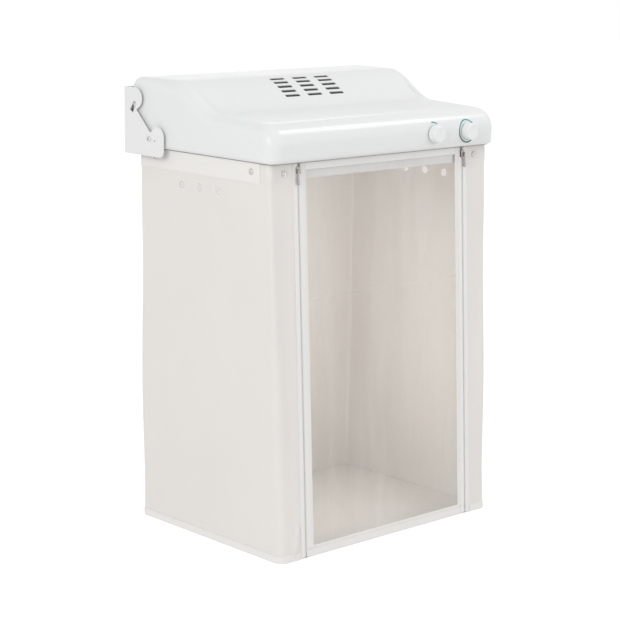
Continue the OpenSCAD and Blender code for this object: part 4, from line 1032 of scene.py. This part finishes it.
class CABINET_OT_studs(Operator):
    """Build the six press studs that hold the bag on its frame"""

    bl_idname = "cabinet.studs"
    bl_label = "Press studs"

    def execute(self, context):
        r = STUD_R
        cap = [(0, -3.0), (r - 2, -3.0), (r - 2, -0.3), (r - 0.3, 0), (r, 0.5), (r - 0.4, 1.4),
               (r - 1.5, 2.0), (r - 2.8, 1.6), (r - 3.3, 0.9), (r - 4.2, 0.8), (1.6, 1.1),
               (0, 1.2)]
        side_x, front_u = BAG_HW + LAYER_GAP + FABRIC_T + STUD_GAP, BAG_FRONT - STUD_FRONT_OUT
        parts = []
        for sx in (-1, 1):
            places = [(spot(sx * side_x, u, -STUD_DROP), Vector((sx, 0, 0))) for u in STUD_SIDE]
            places.append((spot(sx * STUD_X, front_u, -STUD_FRONT_DROP), FORWARD))
            parts += [lathe(cap, place, out, UP, 40) for place, out in places]
        studs = new_piece("stud_caps", merged(*parts), "stud plastic", "cabinet",
                          sharp=30)
        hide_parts("press_studs")
        return {"FINISHED"}


# ---- the window
def film_wave(x, down):
    """Shallow waves and packing creases of the clear film, in millimetres inwards."""
    hold = math.sin(math.pi * min(max((x + BORDER_IN) / (2 * BORDER_IN), 0), 1))
    ends = rise(down, BAND_AT, FILM_HOLD) * (1 - rise(down, FOLD_AT - FILM_FOOT_HOLD, FILM_HOLD))
    wave = sum(reach * math.sin(x / over_x + down / over_down + start)
               for reach, over_x, over_down, start in FILM_WAVES)
    crease = math.exp(-abs(x - FILM_FOLD_X) / CREASE_SPAN) + sum(
        CREASE_IN * math.exp(-abs(down - at - CREASE_SLANT * x) / CREASE_SPAN)
        for at in FILM_CREASES)
    return hold ** 0.7 * ends * (wave + crease)


class CABINET_OT_window(Operator):
    """Build the clear window with its border and top band"""

    bl_idname = "cabinet.window"
    bl_label = "Window"

    def execute(self, context):
        self.film()
        self.border()
        self.band()
        return {"FINISHED"}

    def film(self):
        """The clear film, which laps under its border."""
        side = BORDER_IN + FILM_LAP

        def place(x, down, depth):
            lap = max(abs(x) - BORDER_IN, BAND_AT - down, down - (FOLD_AT - FOOT_W))
            inward = FABRIC_T + LAYER_GAP + film_wave(x, down) * ease(-lap / LAP_SPAN)
            return front_spot(x, -inward - depth, down)

        cols = spread(-side, -BORDER_IN, 3)[:-1] + spread(-BORDER_IN, BORDER_IN, 64) + spread(
            BORDER_IN, side, 3)[1:]
        rows = spread(BAND_AT - FILM_LAP, FOLD_AT - FILM_FOOT, 120)
        film = new_piece("clear_pane", cloth(place, cols, rows, FILM_T), "clear film",
                         "window", sharp=60)
        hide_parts("window_film")

    def border(self):
        """The sewn border at the window's sides and foot, with its stitches."""
        def place(x, down, depth):
            reach, length = BORDER_WAVE
            return front_spot(x, -depth + reach * math.sin(down / length + x), down)

        strips, rows = [], []
        for sx in (-1, 1):
            cols = [sx * v for v in spread(BORDER_OUT, BORDER_IN, 7)]
            strips.append(cloth(place, cols, spread(FRONT_TOP, FOLD_AT, 120), FABRIC_T))
            for x in BORDER_SEAMS:
                line = [place(sx * x, d, 0) for d in spread(
                    FRONT_TOP + BORDER_SEAM_IN, FOLD_AT - BORDER_SEAM_IN, 60)]
                rows.append(stitches(line, [FORWARD] * len(line)))
        strips.append(cloth(place, spread(-BORDER_IN, BORDER_IN, 80),
                            spread(FOLD_AT - FOOT_W, FOLD_AT, 4), FABRIC_T))
        binding = new_piece("window_binding", merged(*strips), "trim fabric", "window",
                            sharp=50)
        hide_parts("window_border")
        seam = new_piece("binding_stitches", merged(*rows), "sewing thread", "window")

    def band(self):
        """The milky band across the window's top."""
        def place(x, down, depth):
            reach, length = TOP_BAND_WAVE
            return front_spot(x, -depth + reach * math.sin(x / length), down)

        form = cloth(place, spread(-BORDER_IN, BORDER_IN, 80), spread(FRONT_TOP, BAND_AT, 6),
                     FABRIC_T)
        band = new_piece("window_top_band", form, "milky band", "window",
                         sharp=50)
        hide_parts("window_band")


# ---- zips
def zip_half(side, hand, start, stop):
    """One tape and its chain of teeth: side is +1 outside the zip's middle, hand the sign
    of x. The teeth reach across to the other half down to the window's fold."""
    middle = ZIP_X + side * (CHAIN_GAP + CHAIN_S) / 2

    def tape_place(x, down, depth):
        return front_spot(hand * x, LAYER_GAP + TAPE_T - depth, down)

    tape = cloth(tape_place, spread(middle, middle + side * TAPE_W, 5), spread(start, stop, 90),
                 TAPE_T)
    teeth, pitch = [], settings().tooth_pitch / MM
    along = (front_spot(0, 0, 1) - front_spot(0, 0, 0)).normalized()
    out = (front_spot(0, 1, 0) - front_spot(0, 0, 0)).normalized()
    down = pitch * (math.ceil(start / pitch + 0.5) + (0.5 if side > 0 else 0.0))
    while down < stop - pitch / 2:
        reach = CHAIN_GAP * TOOTH_REACH if down < FOLD_AT - 1 else 0.0
        centre = front_spot(hand * (middle - side * reach / 2), TAPE_T - CHAIN_S / 2 + 0.1, down)
        teeth.append(rounded_bar(centre, RIGHT * hand, along, out, CHAIN_S + reach - 0.1,
                                 pitch * TOOTH_W, CHAIN_S - 0.2))
        down += pitch
    return tape, merged(*teeth)


class CABINET_OT_zips(Operator):
    """Build the zip tapes and their teeth, and finish the sliders and pulls"""

    bl_idname = "cabinet.zips"
    bl_label = "Zips"

    def execute(self, context):
        runs = (("bag", "cabinet", "bag_zip_tapes", "bag_wrap",
                 ((1, FRONT_TOP, ZIP_END), (-1, FOLD_AT + FOLD_GAP, ZIP_END))),
                ("window", "window", "window_zip_tapes", "window_binding",
                 ((-1, CHAIN_TOP, FOLD_AT),)))
        for label, body, node, carrier, halves in runs:
            for hand, end in ((-1, "left"), (1, "right")):
                for k, (side, start, stop) in enumerate(halves):
                    tape, teeth = zip_half(side, hand, start, stop)
                    name = f"{label}_{end}_{k}" if k else f"{label}_{end}"
                    strip = new_piece(f"zip_tape_{name}", tape, "zip tape", body,
                                      sharp=50)
                    chain = new_piece(f"zip_teeth_{name}", teeth, "zip teeth", body,
                                      sharp=40)
                    if hand < 0 and k == 0:
                        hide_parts(node)
        metal = ["zip_slider_left", "zip_slider_right", "zip_pull_left", "zip_pull_right"]
        dress(metal, "worn zip metal")
        soften(metal, 0.25)
        return {"FINISHED"}


# ---- construction solids that keep their shape
class CABINET_OT_metalwork(Operator):
    """Finish the wall bracket, its fixings and the hanger rail"""

    bl_idname = "cabinet.metalwork"
    bl_label = "Bracket and rail"

    def execute(self, context):
        dress(["wall_bracket", "hanger_rail"], "powder coat")
        dress(["side_screws", "side_nuts", "hook_pegs", "base_screws", "timer_spindle",
               "heat_spindle"], "plated steel")
        soften(["wall_bracket"], 0.45)
        soften(["side_screws"], 0.3)
        return {"FINISHED"}


class CABINET_OT_inner(Operator):
    """Finish the pan, frame, fan, heater, controls and wiring inside the head"""

    bl_idname = "cabinet.inner"
    bl_label = "Inner parts"

    def execute(self, context):
        for name, nodes in INNER_FINISHES.items():
            dress(nodes, name)
        return {"FINISHED"}


# ---- stage
def seen_directly(tree):
    """1 for rays that show the background: from the camera, a reflection or through glass."""
    rays = add(tree, "ShaderNodeLightPath")
    total = math_node(tree, "ADD", rays.outputs["Is Camera Ray"], rays.outputs["Is Glossy Ray"])
    return math_node(tree, "ADD", total, rays.outputs["Is Transmission Ray"], clamp=True)


class CABINET_OT_stage(Operator):
    """Set up the pale floor, the soft light and the camera"""

    bl_idname = "cabinet.stage"
    bl_label = "Stage, light and camera"

    def execute(self, context):
        scene = context.scene
        scene.view_settings.view_transform = "Standard"
        self.floor()
        self.world(scene)
        self.inner_glow()
        for name, place, size, power in LAMPS:
            lamp = bpy.data.lights.new(name, "AREA")
            lamp.shape, lamp.size, lamp.energy = "DISK", size, power
            obj = linked(name, lamp)
            obj.location = place
            aim = Vector(LAMP_AIM) - Vector(place)
            obj.rotation_euler = aim.to_track_quat("-Z", "Y").to_euler()
        self.camera(scene)
        return {"FINISHED"}

    def inner_glow(self):
        """The warm daylight that real woven fabric lets into the bag."""
        lamp = bpy.data.lights.new("inner", "AREA")
        lamp.shape, lamp.energy, lamp.color = "RECTANGLE", GLOW_POWER, GLOW_COLOUR
        lamp.size, lamp.size_y = GLOW_SIZE
        glow = linked("inner", lamp)
        glow.location = spot(*GLOW_AT)
        glow.rotation_euler = (math.pi / 2, 0, 0)
        glow.visible_camera = glow.visible_glossy = glow.visible_transmission = False

    def floor(self):
        material = bpy.data.materials.new("pale floor")
        material.use_nodes = True
        tree = material.node_tree
        shader = tree.nodes["Principled BSDF"]
        shader.inputs["Base Color"].default_value = (*[FLOOR_SHADE] * 3, 1)
        shader.inputs["Roughness"].default_value = 0.9
        shader.inputs["Emission Strength"].default_value = FLOOR_SHINE
        shine = colour_mix(tree, seen_directly(tree), (0, 0, 0, 1), (1, 1, 1, 1))
        tree.links.new(shine, shader.inputs["Emission Color"])
        bpy.ops.mesh.primitive_plane_add(size=FLOOR_SIZE, location=(0, 0, FLOOR_Z))
        floor = bpy.context.object
        floor.name = "floor"
        floor.data.materials.append(material)

    def world(self, scene):
        world = bpy.data.worlds.new("soft white")
        scene.world = world
        world.use_nodes = True
        tree = world.node_tree
        back = tree.nodes["Background"]
        level = ramp(tree, seen_directly(tree), 0.0, 1.0, WORLD_LIGHT, WORLD_SEEN)
        tree.links.new(level, back.inputs["Strength"])
        back.inputs["Color"].default_value = (1, 1, 1, 1)

    def camera(self, scene):
        place, target = Vector(CAMERA_PLACE), Vector(CAMERA_AIM)
        roll = math.radians(CAMERA_ROLL)
        back = (place - target).normalized()
        right = (-back).cross(UP).normalized()
        up = back.cross(right)
        x = right * math.cos(roll) + up * math.sin(roll)
        y = -right * math.sin(roll) + up * math.cos(roll)
        data = bpy.data.cameras.new("camera")
        data.sensor_width, data.lens = SENSOR, FOCAL_SHARE * SENSOR
        camera = linked("camera", data)
        turn = Matrix((x, y, back)).transposed().to_4x4()
        camera.matrix_world = Matrix.Translation(place) @ turn
        scene.camera = camera


# ---- the add-on
class CabinetSettings(PropertyGroup):
    """Sizes and colours that a user may change."""

    shell_colour: FloatVectorProperty(
        name="Shell colour", description="Colour of the moulded head", subtype="COLOR", size=3,
        default=(0.81, 0.815, 0.815), min=0, max=1)
    knob_colour: FloatVectorProperty(
        name="Knob colour", description="Colour of the two control knobs", subtype="COLOR",
        size=3, default=(0.84, 0.845, 0.845), min=0, max=1)
    fabric_colour: FloatVectorProperty(
        name="Fabric colour", description="Colour of the bag's fabric", subtype="COLOR", size=3,
        default=(0.79, 0.765, 0.735), min=0, max=1)
    trim_colour: FloatVectorProperty(
        name="Trim colour", description="Colour of the hem, bands and window border",
        subtype="COLOR", size=3, default=(0.83, 0.81, 0.785), min=0, max=1)
    dip_depth: FloatProperty(
        name="Dip beside the borders", description="Depth of the dip beside the side borders",
        default=0.0065, min=0, max=0.008, unit="LENGTH")
    tooth_pitch: FloatProperty(
        name="Tooth pitch", description="Spacing of the zip's teeth", default=0.0026,
        min=0.002, max=0.005, unit="LENGTH")


STEPS = ("head", "knobs", "bag", "studs", "window", "zips", "metalwork", "inner", "stage")


class CABINET_PT_panel(Panel):
    """Lists the pieces and their settings"""

    bl_label = "Drying cabinet"
    bl_idname = "CABINET_PT_panel"
    bl_space_type = "VIEW_3D"
    bl_region_type = "UI"
    bl_category = "Cabinet"

    def draw(self, context):
        layout = self.layout
        for name in CabinetSettings.__annotations__:
            layout.prop(context.scene.cabinet, name)
        for step in STEPS:
            layout.operator("cabinet." + step)


CLASSES = (CabinetSettings, CABINET_OT_head, CABINET_OT_knobs, CABINET_OT_bag, CABINET_OT_studs,
           CABINET_OT_window, CABINET_OT_zips, CABINET_OT_metalwork, CABINET_OT_inner,
           CABINET_OT_stage, CABINET_PT_panel)


def register():
    for cls in CLASSES:
        bpy.utils.register_class(cls)
    bpy.types.Scene.cabinet = PointerProperty(type=CabinetSettings)


def unregister():
    del bpy.types.Scene.cabinet
    for cls in reversed(CLASSES):
        bpy.utils.unregister_class(cls)


def main():
    register()
    for step in STEPS:
        getattr(bpy.ops.cabinet, step)()


if __name__ == "__main__":
    main()
